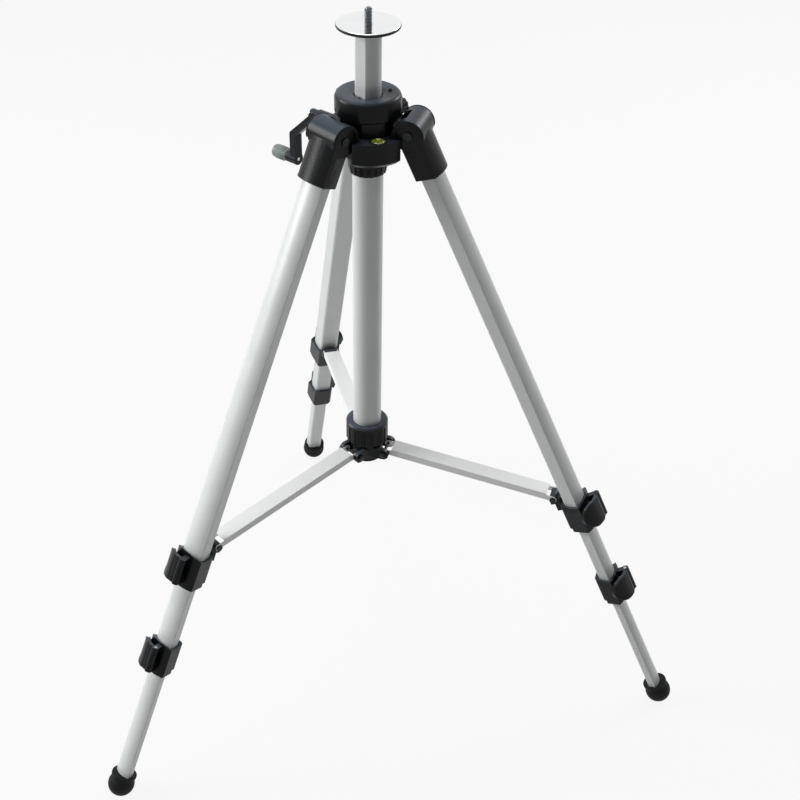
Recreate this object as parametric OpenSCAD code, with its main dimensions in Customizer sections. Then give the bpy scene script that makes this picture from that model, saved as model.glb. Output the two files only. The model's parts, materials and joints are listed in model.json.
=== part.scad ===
// Elevating tripod with telescopic legs, a sliding spreader hub and a cranked centre column.
// Millimetres, +Z up. The rear leg points along +Y and the feet stand on z = 0.

/* [Stance] */
// Distance from a leg's pivot to the centre of its ball foot
leg_len = 643; // [615:1:670]
// Lean of a spread leg from the vertical
leg_lean = 25.3; // [23:0.1:27]
// Height of the hub's hinges below the leg pivots
hub_drop = 337.5; // [332:0.5:344]

/* [Leg tubes] */
// Width of the upper tube
upper_w = 26; // [25.6:0.1:27]
// Depth of the upper tube
upper_d = 17.7; // [17.4:0.1:18.5]
// Width of the middle tube
middle_w = 22; // [21.8:0.1:22.4]
// Depth of the middle tube
middle_d = 14.2; // [14.1:0.1:14.4]
// Width of the lower tube
lower_w = 18.4; // [17:0.1:18.6]
// Depth of the lower tube
lower_d = 10.9; // [10:0.1:11]
// Wall of the leg tubes
tube_wall = 1.2; // [1:0.1:1.3]
// Lean of the tube's flat sides towards its inner face
flank_taper = 17.5; // [14:0.5:20]
// Angle that half of the rounded outer face spans
face_arc = 36; // [30:1:40]
// Chamfer on the inner corners of a leg tube
edge_break = 1.2; // [0.8:0.1:1.5]
// Length of the middle tube
middle_len = 400; // [380:1:410]
// Length of the lower tube
lower_len = 395; // [370:1:400]

/* [Leg clamps] */
// Height of the upper clamp's middle above the foot, along the leg
upper_clamp_s = 238; // [228:1:248]
// Height of the lower clamp's middle above the foot, along the leg
lower_clamp_s = 145; // [136:1:153]
// Height of a clamp collar
clamp_h = 36; // [34:1:40]
// Wall of a clamp collar round its tube
clamp_wall = 3.6; // [3.2:0.1:4]
// Height of the narrow rim under a clamp collar
clamp_rim_h = 5; // [4:0.5:7]
// Step from a clamp collar in to its rim
clamp_rim_step = 1.5; // [1:0.1:2]
// Height of the seat of a tube's end above the clamp's lower edge
clamp_seat = 12; // [10:0.5:14]
// Depth of the saddle cut in the clamp's top
saddle_depth = 6; // [4:0.5:8]
// Radius of the saddle cut in the clamp's top
saddle_r = 22; // [20:1:26]
// Thickness of a clamp lever
lever_t = 3.4; // [3:0.1:4]
// Height of a clamp lever
lever_h = 25.3; // [23.3:1:25.3]
// Angle of the lever's hinge from the leg's outer side
lever_hinge_a = 16; // [12:1:20]
// Angle about which the lever's rounded end is struck
lever_end_a = -30; // [-36:1:-24]
// Radius of a lever's hinge barrel
barrel_r = 3.4; // [3:0.1:3.6]
// Height of each ear that holds a lever's pin
ear_h = 6; // [5:0.5:7]
// Width of the root that joins an ear to its collar
ear_root_w = 5.6; // [5:0.1:5.8]
// Radius of the lever pins and the brace rivets
pin_r = 1.5; // [1.2:0.1:1.8]
// Thickness of a rivet's head
rivet_head_t = 1.2; // [1:0.1:1.6]

/* [Feet] */
// Radius of a ball foot
foot_ball_r = 12.5; // [12:0.1:14]
// Depth of the flat that a foot stands on
foot_flat = 0.4; // [0.3:0.1:0.8]
// Radius of a foot's sleeve
foot_sleeve_r = 10.9; // [10.7:0.1:11.4]
// Height of a foot's sleeve above the ball's centre
foot_sleeve_h = 11.5; // [11:0.5:13]
// Height of the lip at the top of a foot's sleeve
foot_lip_h = 2.6; // [2:0.1:3]
// Projection of the lip at the top of a foot's sleeve
foot_lip = 1; // [0.8:0.1:1.2]
// Height of the lower tube's seat above the ball's centre
foot_seat = 2; // [1:0.5:4]

/* [Braces] */
// Width of a brace
brace_w = 16; // [15:0.5:18]
// Depth of a brace channel
brace_depth = 7; // [6.5:0.1:8]
// Sheet thickness of a brace
brace_t = 1.2; // [1:0.1:1.5]
// Height of the brace's top face above its hinge axis
brace_rise = 5.5; // [5.2:0.1:6]
// Radius of a brace's rounded end
brace_end_r = 3.4; // [3.3:0.1:3.6]
// Distance from the hinge axis to the end of the brace's top face
brace_setback = 7; // [6.5:0.5:9]
// Distance of the brace lug's axis from the upper clamp's inner face
lug_reach = 5.5; // [5:0.1:6.5]
// Height of the brace lug's axis above the upper clamp's middle
lug_rise = 21; // [19:0.5:23]
// Radius of the brace lug
lug_r = 4; // [3.6:0.1:4]
// Height of the lug's root on the clamp
lug_root_h = 14; // [12:0.5:16]
// Height of the lug's heel below its axis
lug_heel_h = 6; // [5:0.5:7]

/* [Hub] */
// Radius of the hub's body
hub_r = 15.6; // [15.5:0.1:15.7]
// Distance of the hub's hinge axes from its body
hub_reach = 3.9; // [3.9:0.1:4.4]
// Depth of the hub's bowl below its hinges
hub_bowl = 11; // [10:0.5:13]
// Width of the rim under the hub's bowl
hub_bowl_rim = 0.8; // [0.6:0.1:1]
// Height of the hub's straight side above the bowl's rim
hub_bowl_h = 8; // [7:0.5:9]
// Height of the hub's shoulder above its hinges
hub_shoulder = 9; // [8.5:0.5:11]
// Height of the hub's neck above its shoulder
hub_neck_h = 13; // [11:0.5:15]
// Wall of the hub's neck
hub_neck_wall = 2.2; // [1.8:0.1:2.6]
// Thickness of a hub ear
hub_ear_t = 4; // [3.5:0.1:4.5]
// Radius of a hub ear
hub_ear_r = 5.6; // [5.2:0.1:6]
// Radius of the lock ring
ring_r = 20; // [19.5:0.1:21]
// Height of the lock ring
ring_h = 22; // [20:0.5:25]
// Chamfer of the lock ring's edges
ring_edge = 1.5; // [1:0.1:2]
// Height of the plain band above the lock ring's flutes
ring_band = 4; // [3:0.5:5]
// Number of flutes round the lock ring
ring_flutes = 16; // [12:1:18]
// Radius of a flute in the lock ring
flute_r = 1.7; // [1.2:0.1:2]

/* [Centre column] */
// Radius of the outer tube
outer_r = 13.3; // [13:0.1:13.5]
// Wall of the outer tube
outer_wall = 1.6; // [1.4:0.1:1.8]
// Thickness of the end plug's flange
plug_flange_t = 2; // [1.5:0.1:2.5]
// Depth of the end plug in the outer tube
plug_h = 8; // [6:0.5:10]
// Radius of the elevating column
column_r = 11; // [10.8:0.1:11.2]
// Wall of the elevating column
column_wall = 2; // [1.8:0.1:2.4]
// Length of the elevating column
column_len = 366; // [350:1:375]
// Travel of the elevating column below its place at rest
column_drop = 15; // [10:1:20]
// Thickness of the column's closed top
column_top_t = 10; // [8:0.5:12]
// Thickness of the flange of the column's guide ring
guide_flange_t = 3; // [2.5:0.1:4]
// Depth of the guide ring in the column
guide_h = 10; // [8:0.5:12]
// Distance of the column's flat from its axis
flat_x = 9.7; // [9.5:0.1:9.9]
// Height of the top plate's underside above the crown cap
plate_lift = 55; // [54:1:70]
// Radius of the top plate
plate_r = 26.5; // [22:0.5:30]
// Chamfer of the top plate's edges
plate_edge = 0.6; // [0.4:0.1:1]
// Thickness of the top plate
plate_t = 3; // [2.5:0.1:4]
// Radius of the instrument stud, a quarter inch thread
stud_r = 3.175; // [3.1:0.005:3.3]
// Radius of the stud's shank in the plate and the column
stud_shank_r = 2.7; // [2.5:0.1:2.8]
// Width of the countersink round the stud in the plate's top
stud_sink = 0.2; // [0.1:0.05:0.4]
// Height of the instrument stud above the top plate
stud_h = 12.5; // [10:0.5:14]
// Chamfer of the stud's tip
stud_tip = 0.8; // [0.5:0.1:1]
// Depth of the stud's shank in the column's top
stud_shank = 8; // [6:0.5:8]

/* [Rack and crank] */
// Azimuth that the column's flat and rack face
rack_a = 217; // [215:1:220]
// Width of the rack
rack_w = 4.5; // [4:0.1:5]
// Depth of the rack behind the column's flat
rack_depth = 3.4; // [3.2:0.1:3.8]
// Height of the rack's lower end above the column's
rack_inset = 12; // [11:0.5:16]
// Depth of the rack's upper end below the crown cap's top, with the column as drawn
rack_cover = 2.5; // [2.5:0.5:5]
// Tooth module of rack and pinion
tooth_m = 1; // [0.9:0.05:1.05]
// Number of teeth on the pinion
pinion_teeth = 10; // [9:1:11]
// Height of the crank shaft above the leg pivots
shaft_rise = -2.5; // [-3:0.5:-2]
// Radius of the crank shaft
shaft_r = 2.5; // [2.2:0.1:2.6]
// Distance of the crank shaft's outer end along its axis
shaft_reach = 50; // [49:0.5:55]
// Radius of the crank arm's hub
crank_hub_r = 4.6; // [4.4:0.1:5]
// Height of the crank arm's hub
crank_hub_h = 8; // [7:0.1:8]
// Height of the screw's head on the crank arm
screw_head_h = 2.4; // [2:0.1:3]
// Distance that the crank arm is set outwards
crank_offset = 28.5; // [27:0.5:31]
// Drop of the crank arm's bend below the shaft
crank_bend = 24; // [22:0.5:27]
// Drop of the knob's axis below the shaft
crank_throw = 48; // [45:0.5:51]
// Thickness of the crank arm
crank_t = 6; // [5.5:0.1:7]
// Width of the crank arm
crank_w = 9; // [8.5:0.1:10]
// Radius of the boss at the crank arm's end
crank_end_r = 5.4; // [5:0.1:5.8]
// Height of the boss at the crank arm's end
crank_end_h = 5.5; // [4:0.5:6]
// Radius of the crank knob
knob_r = 6; // [5:0.1:7]
// Radius of the knob spindle's head
spindle_head_r = 2.4; // [2:0.1:3]
// Edge rounding of the crank knob
knob_edge = 1.4; // [1:0.1:1.8]
// Length of the crank knob
knob_h = 16; // [14:0.5:18]

/* [Crown] */
// Distance of the leg pivots from the column's axis
pivot_r = 39.2; // [39:0.1:40]
// Radius of the crown's barrel
barrel_crown_r = 25; // [24:0.5:25.5]
// Radius of the webs between the legs
web_r = 38; // [36:0.5:39]
// Chamfer under the webs
web_chamfer = 3; // [2.5:0.5:4]
// Distance of the knuckle slots' floor from the column's axis
slot_x = 24; // [23.6:0.1:24.2]
// Depth of the webs' top below the leg pivots
web_top = 3.4; // [3.3:0.1:4]
// Depth of the crown's underside below the leg pivots
crown_depth = 24.5; // [23:0.5:26]
// Width of a crown arm
arm_w = 16; // [15:0.5:17]
// Height of a crown arm above the pivot
arm_rise = 2.9; // [2:0.1:4]
// Depth of a crown arm below the pivot
arm_depth = 10; // [9:0.5:10]
// Radius of the eye at the end of a crown arm
arm_eye_r = 7.6; // [7.2:0.1:8]
// Height of the crown's top face above the leg pivots
crown_top = 9.2; // [9.1:0.1:9.4]
// Radius of the leg pivot pins
pivot_pin_r = 3; // [2.5:0.1:3.5]
// Height of the neck above the crown's top face
neck_h = 10.5; // [9.5:0.5:11]
// Radius of the neck
neck_r = 16; // [15.5:0.1:16.5]
// Wall of the column bush and the shaft bush
bush_wall = 2; // [1.6:0.1:2.2]
// Length of the shaft bush
bush_len = 8; // [6:0.5:10]
// Height of the notched lower collar
skirt_h = 19; // [17:0.5:21]
// Upper radius of the lower collar
skirt_top_r = 19.5; // [19:0.1:20]
// Lower radius of the lower collar
skirt_low_r = 15.8; // [15.5:0.1:17]
// Radius of the notches in the lower collar
notch_r = 1.2; // [0.8:0.1:1.4]
// Height of the notches in the lower collar
notch_h = 10; // [8:0.5:13]
// Number of notches round the lower collar
skirt_notches = 18; // [12:1:20]
// Radius of the crown cap
cap_r = 28; // [27:0.1:28.4]
// Height of the crown cap
cap_h = 18; // [16:0.5:19]
// Rounding of the crown cap's lower edge
cap_edge = 1.6; // [1:0.1:2]
// Height of the crown cap's rounded shoulder
cap_shoulder = 4; // [3:0.5:5]
// Depth of the dish in the crown cap's top
cap_dish = 2.4; // [1.5:0.1:3]
// Radius of the crank shaft's boss
boss_r = 5.8; // [5.6:0.1:6]
// Distance of the boss's outer end along the shaft
boss_reach = 42; // [40:0.5:43]

/* [Level and column lock] */
// Azimuth of the bubble level
vial_a = 274; // [265:1:276]
// Distance of the bubble level from the column's axis
vial_x = 30.5; // [30:0.1:31]
// Radius of the bubble level
vial_r = 6; // [5.5:0.1:6.2]
// Depth of the bubble level in its web
vial_depth = 5; // [4:0.5:6]
// Height of the bubble level's dome above its web
vial_dome = 2; // [1.5:0.1:2.5]
// Azimuth of the column lock
lock_a = 30; // [25:1:35]
// Distance of the column lock's boss end from the column's axis
lock_reach = 30; // [29:0.5:31]
// Radius of the column lock's boss
lock_boss_r = 5.2; // [5:0.1:5.3]
// Radius of the column lock's knob
lock_knob_r = 6.8; // [6.5:0.1:6.8]
// Length of the column lock's knob
lock_knob_h = 10; // [9:0.5:12]
// Height of the plain collar under the column lock's knob
lock_collar_h = 2; // [1.5:0.5:3]
// Number of flutes round the column lock's knob
lock_flutes = 10; // [8:1:12]
// Radius of a flute in the column lock's knob
lock_flute_r = 1.3; // [1:0.1:1.4]
// Radius of the column lock's screw
lock_screw_r = 3; // [2.5:0.1:3]
// Height of the column lock's axis above the leg pivots
lock_rise = 3.8; // [3.7:0.1:3.9]

/* [Knuckles] */
// Width of a leg knuckle
knuckle_w = 34; // [33:0.5:34]
// Depth of a knuckle's sleeve
sleeve_d = 26; // [25:0.5:26.5]
// Radius of a knuckle's dome round the pivot
dome_r = 13.5; // [13.3:0.1:13.6]
// Length of a knuckle's sleeve below the pivot
sleeve_len = 41; // [38:1:45]
// Radius of the hollow round the crown's arm
hollow_r = 10.5; // [10.4:0.1:10.8]
// Depth of the hollow's floor below the pivot
hollow_floor = 11; // [10.5:0.5:12]
// How far the slot in a leg knuckle runs past its pivot
hollow_lip = 2.5; // [2:0.5:3]
// Thickness of the web between the hollow and the tube's socket
sleeve_web = 4; // [3:0.5:5]
// Depth of the recess in a knuckle's cheeks
cheek_recess = 1.2; // [0.8:0.1:1.5]
// Width of the rim round a knuckle's cheeks
cheek_rim = 2; // [1.5:0.1:2.5]
// Radius of a knuckle bolt's head
bolt_head_r = 3.6; // [3.2:0.1:4]
// Height of a knuckle bolt's head
bolt_head_h = 1.1; // [0.9:0.1:1.1]

/* [Clearances] */
// Gap between pieces that are fixed to each other
fixed_gap = 0.1; // [0.05:0.05:0.15]
// Gap between moving pieces
move_gap = 0.3; // [0.3:0.05:0.4]
// Radial gap of a shaft or tube in its bearing
run_gap = 0.06; // [0.02:0.02:0.1]

/* [Hidden] */
$fn = 64;
eps = 0.01;
long = 200;
LEGS = ["front_left", "front_right", "rear"];
leg_azimuth = [210, 330, 90];

// Stance: the feet's circle, the column's place over the middle of the footprint, and the pivot height
stance_r = pivot_r + leg_len * sin(leg_lean);
column_y = -stance_r / 4;
foot_z = foot_ball_r - foot_flat;
pivot_z = foot_z + leg_len * cos(leg_lean);

// Heights round the crown
crown_top_z = pivot_z + crown_top;
crown_low_z = pivot_z - crown_depth;
web_top_z = pivot_z - web_top;
cap_z = crown_top_z + move_gap;
cap_top_z = cap_z + cap_h;
neck_top_z = crown_top_z + neck_h;
slot_half = knuckle_w / 2 + 2 * move_gap;

// Hub, and the brace lug on the upper clamp, as distance from the column's axis and height
hub_pivot_r = hub_r + hub_reach;
hub_pivot_z = pivot_z - hub_drop;
ring_z = hub_pivot_z + hub_shoulder + move_gap;
lug_s = upper_clamp_s + lug_rise;
lug_x = -(upper_d / 2 + clamp_wall + lug_reach);
lug_pivot_r = stance_r - lug_s * sin(leg_lean) + lug_x * cos(leg_lean);
lug_pivot_z = foot_z + lug_s * cos(leg_lean) + lug_x * sin(leg_lean);
brace_len = norm([lug_pivot_r - hub_pivot_r, hub_pivot_z - lug_pivot_z]);
brace_slope = atan2(hub_pivot_z - lug_pivot_z, lug_pivot_r - hub_pivot_r);

// Tubes along the leg
upper_low_s = upper_clamp_s - clamp_h / 2 + clamp_seat;
upper_top_s = leg_len - hollow_floor - sleeve_web;
middle_low_s = lower_clamp_s - clamp_h / 2 + clamp_seat;

// Column, top plate and rack
plate_low_z = cap_top_z + plate_lift;
column_low_z = plate_low_z - column_len;
column_floor_z = column_low_z - guide_flange_t - column_drop - move_gap;
outer_low_z = min(hub_pivot_z - hub_bowl + plug_flange_t, column_floor_z - plug_h);
addendum = 0.8 * tooth_m;
dedendum = tooth_m;
tooth_pitch = PI * tooth_m;
rack_pitch_x = flat_x - addendum;
pinion_pitch_r = tooth_m * pinion_teeth / 2;
pinion_tip_r = pinion_pitch_r + addendum;
shaft_x = rack_pitch_x + pinion_pitch_r;
shaft_z = pivot_z + shaft_rise;
outer_top_z = shaft_z - pinion_tip_r - 2 * move_gap;
rack_low_z = column_low_z + rack_inset;
rack_top_z = cap_top_z - rack_cover;
lock_z = pivot_z + lock_rise;
crank_hub_z = shaft_reach - crank_hub_h;
knob_low = crank_hub_z + crank_offset + crank_t / 2 + crank_end_h + move_gap;
rivet_head_r = 2 * pin_r;

// Facets on each side of the saddle cut, and the angle that each spans
saddle_facets = 9;
saddle_step = 6;

// Colours of the finishes
silver = "silver";
black = "#1c1e21";
steel = "lightgrey";

// Places

// Puts children on the column's axis
module at_axis() {
    translate([0, column_y, 0]) children();
}

// Puts children in a leg's upright plane, x outwards from the column
module at_leg(k) {
    at_axis() rotate(leg_azimuth[k]) children();
}

// Puts children on a leg, z up along it from the ball's centre and x to its outer face
module on_leg(k) {
    at_leg(k) translate([stance_r, 0, foot_z]) rotate([0, -leg_lean, 0]) children();
}

// Puts children on the crank shaft: z outwards along the shaft, x up, origin beside the column
module on_shaft() {
    at_axis() rotate(rack_a) translate([shaft_x, 0, shaft_z]) rotate([90, 0, 0]) rotate(90) children();
}

// Puts children on the column lock's axis, z outwards
module on_lock() {
    at_axis() rotate(lock_a) translate([0, 0, lock_z]) rotate([0, 90, 0]) children();
}

// Shapes that repeat

// Section of a leg tube: flat sides leaning in to a flat inner face, and a rounded outer face
module leg_section(w, d) {
    crown = w / 2 * tan(face_arc / 2);
    bulge_r = w / 2 / sin(face_arc);
    inner_half = w / 2 - (d - crown) * tan(flank_taper);
    break_half = inner_half + edge_break * tan(flank_taper);
    outer_half = w / 2 + (crown + edge_break) * tan(flank_taper);
    intersection() {
        translate([d / 2 - bulge_r, 0]) circle(bulge_r, $fn = 128);
        polygon([[-d / 2, edge_break - inner_half], [edge_break - d / 2, -break_half],
            [d / 2 + edge_break, -outer_half], [d / 2 + edge_break, outer_half],
            [edge_break - d / 2, break_half], [-d / 2, inner_half - edge_break]]);
    }
}

// Prism with a leg tube's section, from height z0 to z1
module leg_prism(w, d, z0, z1) {
    translate([0, 0, z0]) linear_extrude(z1 - z0) leg_section(w, d);
}

// Leg tube from height z0 to z1
module leg_tube(w, d, z0, z1) {
    difference() {
        leg_prism(w, d, z0, z1);
        leg_prism(w - 2 * tube_wall, d - 2 * tube_wall, z0 - 1, z1 + 1);
    }
}

// Ring from radius r0 to r1, from height z0 to z1
module ring(r0, r1, z0, z1) {
    difference() {
        translate([0, 0, z0]) cylinder(r = r1, h = z1 - z0);
        translate([0, 0, z0 - 1]) cylinder(r = r0, h = z1 - z0 + 2);
    }
}

// Cylinder along y, centred, at a point of the xz plane
module cross_pin(r, len, x = 0, z = 0) {
    translate([x, 0, z]) rotate([90, 0, 0]) cylinder(r = r, h = len, center = true);
}

// Distance from a clamp's axis to the crease of its collar
function crease_r(w, d) = norm([d / 2 - w / 2 * tan(face_arc / 2), w / 2]);
// Radius of a lever's inner face round the collar of a tube
function lever_r(w, d) = crease_r(w + 2 * clamp_wall, d + 2 * clamp_wall) + 2 * move_gap;
// Radius of a lever's hinge axis
function hinge_r(w, d) = lever_r(w, d) + lever_t / 2;

// Puts children on a lever's hinge axis
module at_hinge(w, d) {
    rotate(lever_hinge_a) translate([hinge_r(w, d), 0, 0]) children();
}

// Ears that hold the lever's pin, at the top and bottom of the lever's barrel
module lever_ears(w, d, r) {
    for (z = [-lever_h / 2, lever_h / 2 - ear_h])
        translate([0, 0, z]) cylinder(r = r, h = ear_h);
}

// Space of the saddle cut across the top of a clamp collar of width w
module saddle_space(w) {
    outline = [for (i = [-saddle_facets:saddle_facets])
        let (a = i * saddle_step) [saddle_r * sin(a), saddle_r * (1 - cos(a))]];
    translate([0, w, clamp_h / 2 - saddle_depth]) rotate([90, 0, 0]) linear_extrude(2 * w) polygon(outline);
}

// Clamp collar round the end of a tube of width w and depth d, with a bore for the inner tube
module clamp_collar(w, d, inner_w, inner_d) {
    collar_w = w + 2 * clamp_wall;
    collar_d = d + 2 * clamp_wall;
    difference() {
        union() {
            difference() {
                leg_prism(collar_w, collar_d, clamp_rim_h - clamp_h / 2, clamp_h / 2);
                saddle_space(collar_w);
            }
            leg_prism(collar_w - 2 * clamp_rim_step, collar_d - 2 * clamp_rim_step,
                -clamp_h / 2, clamp_rim_h + clamp_rim_step - clamp_h / 2);
            at_hinge(w, d) {
                lever_ears(w, d, barrel_r);
                for (z = [-lever_h / 2, lever_h / 2 - ear_h])
                    translate([-hinge_r(w, d) + d / 2 + 1, -ear_root_w / 2, z])
                        cube([hinge_r(w, d) - d / 2 - 1, ear_root_w, ear_h]);
            }
        }
        leg_prism(w + 2 * fixed_gap, d + 2 * fixed_gap, clamp_seat - clamp_h / 2, clamp_h);
        leg_prism(inner_w + 2 * move_gap, inner_d + 2 * move_gap, -clamp_h, clamp_h);
        at_hinge(w, d) cylinder(r = pin_r + fixed_gap / 2, h = long, center = true);
    }
}

// Flip lever round the clamp of a tube: a curved leaf with a rounded end, and its hinge barrel
module clamp_lever(w, d) {
    difference() {
        union() {
            intersection() {
                ring(lever_r(w, d), lever_r(w, d) + lever_t, -lever_h / 2, lever_h / 2);
                union() {
                    rotate(lever_end_a) rotate([0, 90, 0]) cylinder(r = lever_h / 2, h = long);
                    rotate(lever_end_a) translate([0, 0, -lever_h / 2])
                        rotate_extrude(angle = lever_hinge_a - lever_end_a) square([long, lever_h]);
                }
                rotate(lever_hinge_a - 180) translate([0, 0, -lever_h / 2])
                    rotate_extrude(angle = 180) square([long, lever_h]);
            }
            at_hinge(w, d) translate([0, 0, ear_h + move_gap - lever_h / 2])
                cylinder(r = barrel_r, h = lever_h - 2 * ear_h - 2 * move_gap);
        }
        at_hinge(w, d) for (z = [-lever_h / 2 - move_gap, lever_h / 2 - ear_h - move_gap])
            translate([0, 0, z]) cylinder(r = barrel_r + move_gap, h = ear_h + 2 * move_gap);
        at_hinge(w, d) cylinder(r = pin_r + run_gap, h = long, center = true);
    }
}

// Pin of a clamp lever
module lever_pin(w, d) {
    at_hinge(w, d) cylinder(r = pin_r, h = lever_h, center = true);
}

// Outline of a knuckle from the side, drawn in by a margin
module knuckle_side(margin) {
    circle(dome_r - margin);
    translate([margin - sleeve_d / 2, margin - sleeve_len]) square([sleeve_d - 2 * margin, sleeve_len]);
}

// Centre pieces

module crown() {
    color(black) difference() {
        union() {
            difference() {
                at_axis() union() {
                    translate([0, 0, crown_low_z]) cylinder(r = barrel_crown_r, h = crown_depth + crown_top);
                    translate([0, 0, crown_low_z])
                        cylinder(r1 = web_r - web_chamfer, r2 = web_r, h = web_chamfer);
                    translate([0, 0, crown_low_z + web_chamfer])
                        cylinder(r = web_r, h = web_top_z - crown_low_z - web_chamfer);
                }
                for (k = [0:2])
                    at_leg(k) translate([slot_x, -slot_half, 0]) cube([long, 2 * slot_half, 2 * pivot_z]);
            }
            for (k = [0:2]) at_leg(k) {
                translate([outer_r, -arm_w / 2, pivot_z - arm_depth])
                    cube([pivot_r - outer_r, arm_w, arm_depth + arm_rise]);
                cross_pin(arm_eye_r, arm_w, pivot_r, pivot_z);
            }
            at_axis() {
                translate([0, 0, crown_low_z - skirt_h])
                    cylinder(r1 = skirt_low_r, r2 = skirt_top_r, h = skirt_h + eps);
                translate([0, 0, crown_top_z - eps]) cylinder(r = neck_r, h = neck_h + eps);
            }
            on_shaft() cylinder(r = boss_r, h = boss_reach);
            on_lock() translate([0, 0, neck_r]) cylinder(r = lock_boss_r, h = lock_reach - neck_r);
        }
        at_axis() {
            translate([0, 0, crown_low_z - skirt_h - 1]) cylinder(r = outer_r + fixed_gap / 2,
                h = outer_top_z - crown_low_z + skirt_h + 1);
            cylinder(r = column_r + 2 * move_gap, h = 2 * pivot_z);
            translate([0, 0, neck_top_z - neck_h])
                cylinder(r = column_r + run_gap + bush_wall + fixed_gap / 2, h = long);
            for (i = [0:skirt_notches - 1]) rotate(i * 360 / skirt_notches)
                translate([skirt_low_r + notch_r / 2, 0, crown_low_z - skirt_h - 1])
                    cylinder(r = notch_r, h = notch_h + 1);
            rotate(vial_a) translate([vial_x, 0, web_top_z - vial_depth])
                cylinder(r = vial_r + fixed_gap, h = vial_depth + vial_dome + 1);
        }
        for (k = [0:2]) at_leg(k) cross_pin(pivot_pin_r + fixed_gap / 2, 2 * arm_w, pivot_r, pivot_z);
        on_shaft() {
            translate([0, 0, -rack_w / 2 - 2 * move_gap])
                cylinder(r = pinion_tip_r + move_gap, h = rack_w + 4 * move_gap);
            translate([0, 0, -rack_w]) cylinder(r = shaft_r + run_gap, h = long);
            translate([0, 0, boss_reach - bush_len])
                cylinder(r = shaft_r + run_gap + bush_wall + fixed_gap / 2, h = long);
        }
        on_lock() cylinder(r = lock_screw_r + run_gap, h = long);
    }
}

module crown_cap() {
    bore = column_r + 2 * move_gap;
    color(black) at_axis() difference() {
        translate([0, 0, cap_z]) rotate_extrude($fn = 96) polygon([
            [bore, 0], [cap_r - cap_edge, 0], [cap_r, cap_edge], [cap_r, cap_h - cap_shoulder],
            [cap_r - cap_shoulder / 4, cap_h - cap_shoulder / 3], [cap_r - cap_shoulder * 3 / 4, cap_h],
            [neck_r, cap_h - cap_dish / 4], [bore, cap_h - cap_dish]]);
        translate([0, 0, cap_z - 1]) cylinder(r = neck_r + fixed_gap, h = neck_top_z + move_gap - cap_z + 1);
    }
}

module outer_tube() {
    color(silver) at_axis() ring(outer_r - outer_wall, outer_r, outer_low_z, outer_top_z);
}

module tube_end_plug() {
    color(black) at_axis() {
        translate([0, 0, outer_low_z - eps]) cylinder(r = outer_r - outer_wall - fixed_gap / 2, h = plug_h);
        translate([0, 0, outer_low_z - plug_flange_t]) cylinder(r = outer_r - run_gap, h = plug_flange_t);
    }
}

module column_bush() {
    color("dimgray") at_axis()
        ring(column_r + run_gap, column_r + run_gap + bush_wall, neck_top_z - neck_h, neck_top_z);
}

module shaft_bush() {
    color("goldenrod") on_shaft()
        ring(shaft_r + run_gap, shaft_r + run_gap + bush_wall, boss_reach - bush_len, boss_reach);
}

module level_vial() {
    dome_ball = (vial_r * vial_r + vial_dome * vial_dome) / (2 * vial_dome);
    color("yellowgreen") at_axis() rotate(vial_a) translate([vial_x, 0, web_top_z]) {
        translate([0, 0, -vial_depth]) cylinder(r = vial_r, h = vial_depth);
        intersection() {
            translate([0, 0, vial_dome - dome_ball]) sphere(dome_ball);
            translate([0, 0, -eps]) cylinder(r = vial_r, h = vial_dome + 1);
        }
    }
}

module leg_pivot_pins() {
    color(steel) for (k = [0:2]) at_leg(k) cross_pin(pivot_pin_r, arm_w, pivot_r, pivot_z);
}

// Elevating column

module centre_column() {
    color(silver) at_axis() difference() {
        translate([0, 0, column_low_z]) cylinder(r = column_r, h = column_len);
        translate([0, 0, column_low_z - 1])
            cylinder(r = column_r - column_wall, h = column_len - column_top_t + 1);
        rotate(rack_a) translate([flat_x, -column_r, column_low_z - 1])
            cube([column_r, 2 * column_r, column_len + 2]);
        rotate(rack_a) translate([flat_x - rack_depth - fixed_gap, -rack_w / 2 - fixed_gap, rack_low_z])
            cube([column_r, rack_w + 2 * fixed_gap, rack_top_z - rack_low_z]);
        translate([0, 0, plate_low_z - stud_shank]) cylinder(r = stud_shank_r + fixed_gap / 2, h = long);
    }
}

module column_rack() {
    tooth_top = 0.2 * tooth_pitch;
    tooth_foot = 0.58 * tooth_pitch;
    phase = (shaft_z - rack_low_z) % tooth_pitch;
    count = floor((rack_top_z - rack_low_z - tooth_pitch) / tooth_pitch);
    depth = addendum + dedendum;
    color(silver) at_axis() rotate(rack_a) translate([0, rack_w / 2, rack_low_z])
        rotate([90, 0, 0]) linear_extrude(rack_w) {
        translate([flat_x - rack_depth, 0]) square([rack_depth - depth, rack_top_z - rack_low_z]);
        for (i = [1:count - 1]) translate([flat_x, phase + (i - 0.5) * tooth_pitch]) polygon([
            [-depth - eps, -tooth_foot / 2], [0, -tooth_top / 2],
            [0, tooth_top / 2], [-depth - eps, tooth_foot / 2]]);
    }
}

module column_guide() {
    color(black) at_axis() difference() {
        union() {
            translate([0, 0, column_low_z - guide_flange_t])
                cylinder(r = outer_r - outer_wall - run_gap, h = guide_flange_t);
            translate([0, 0, column_low_z - eps])
                cylinder(r = column_r - column_wall - fixed_gap, h = guide_h);
        }
        translate([0, 0, column_low_z - 2 * guide_flange_t])
            cylinder(r = column_r - 2 * column_wall, h = long);
    }
}

module top_plate() {
    bore = stud_shank_r + fixed_gap / 2;
    sink = stud_r + stud_sink;
    color(steel) at_axis() translate([0, 0, plate_low_z]) rotate_extrude($fn = 128) polygon([
        [bore, 0], [plate_r - plate_edge, 0], [plate_r, plate_edge], [plate_r, plate_t - plate_edge],
        [plate_r - plate_edge, plate_t], [sink, plate_t], [bore, plate_t - sink + bore]]);
}

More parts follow.
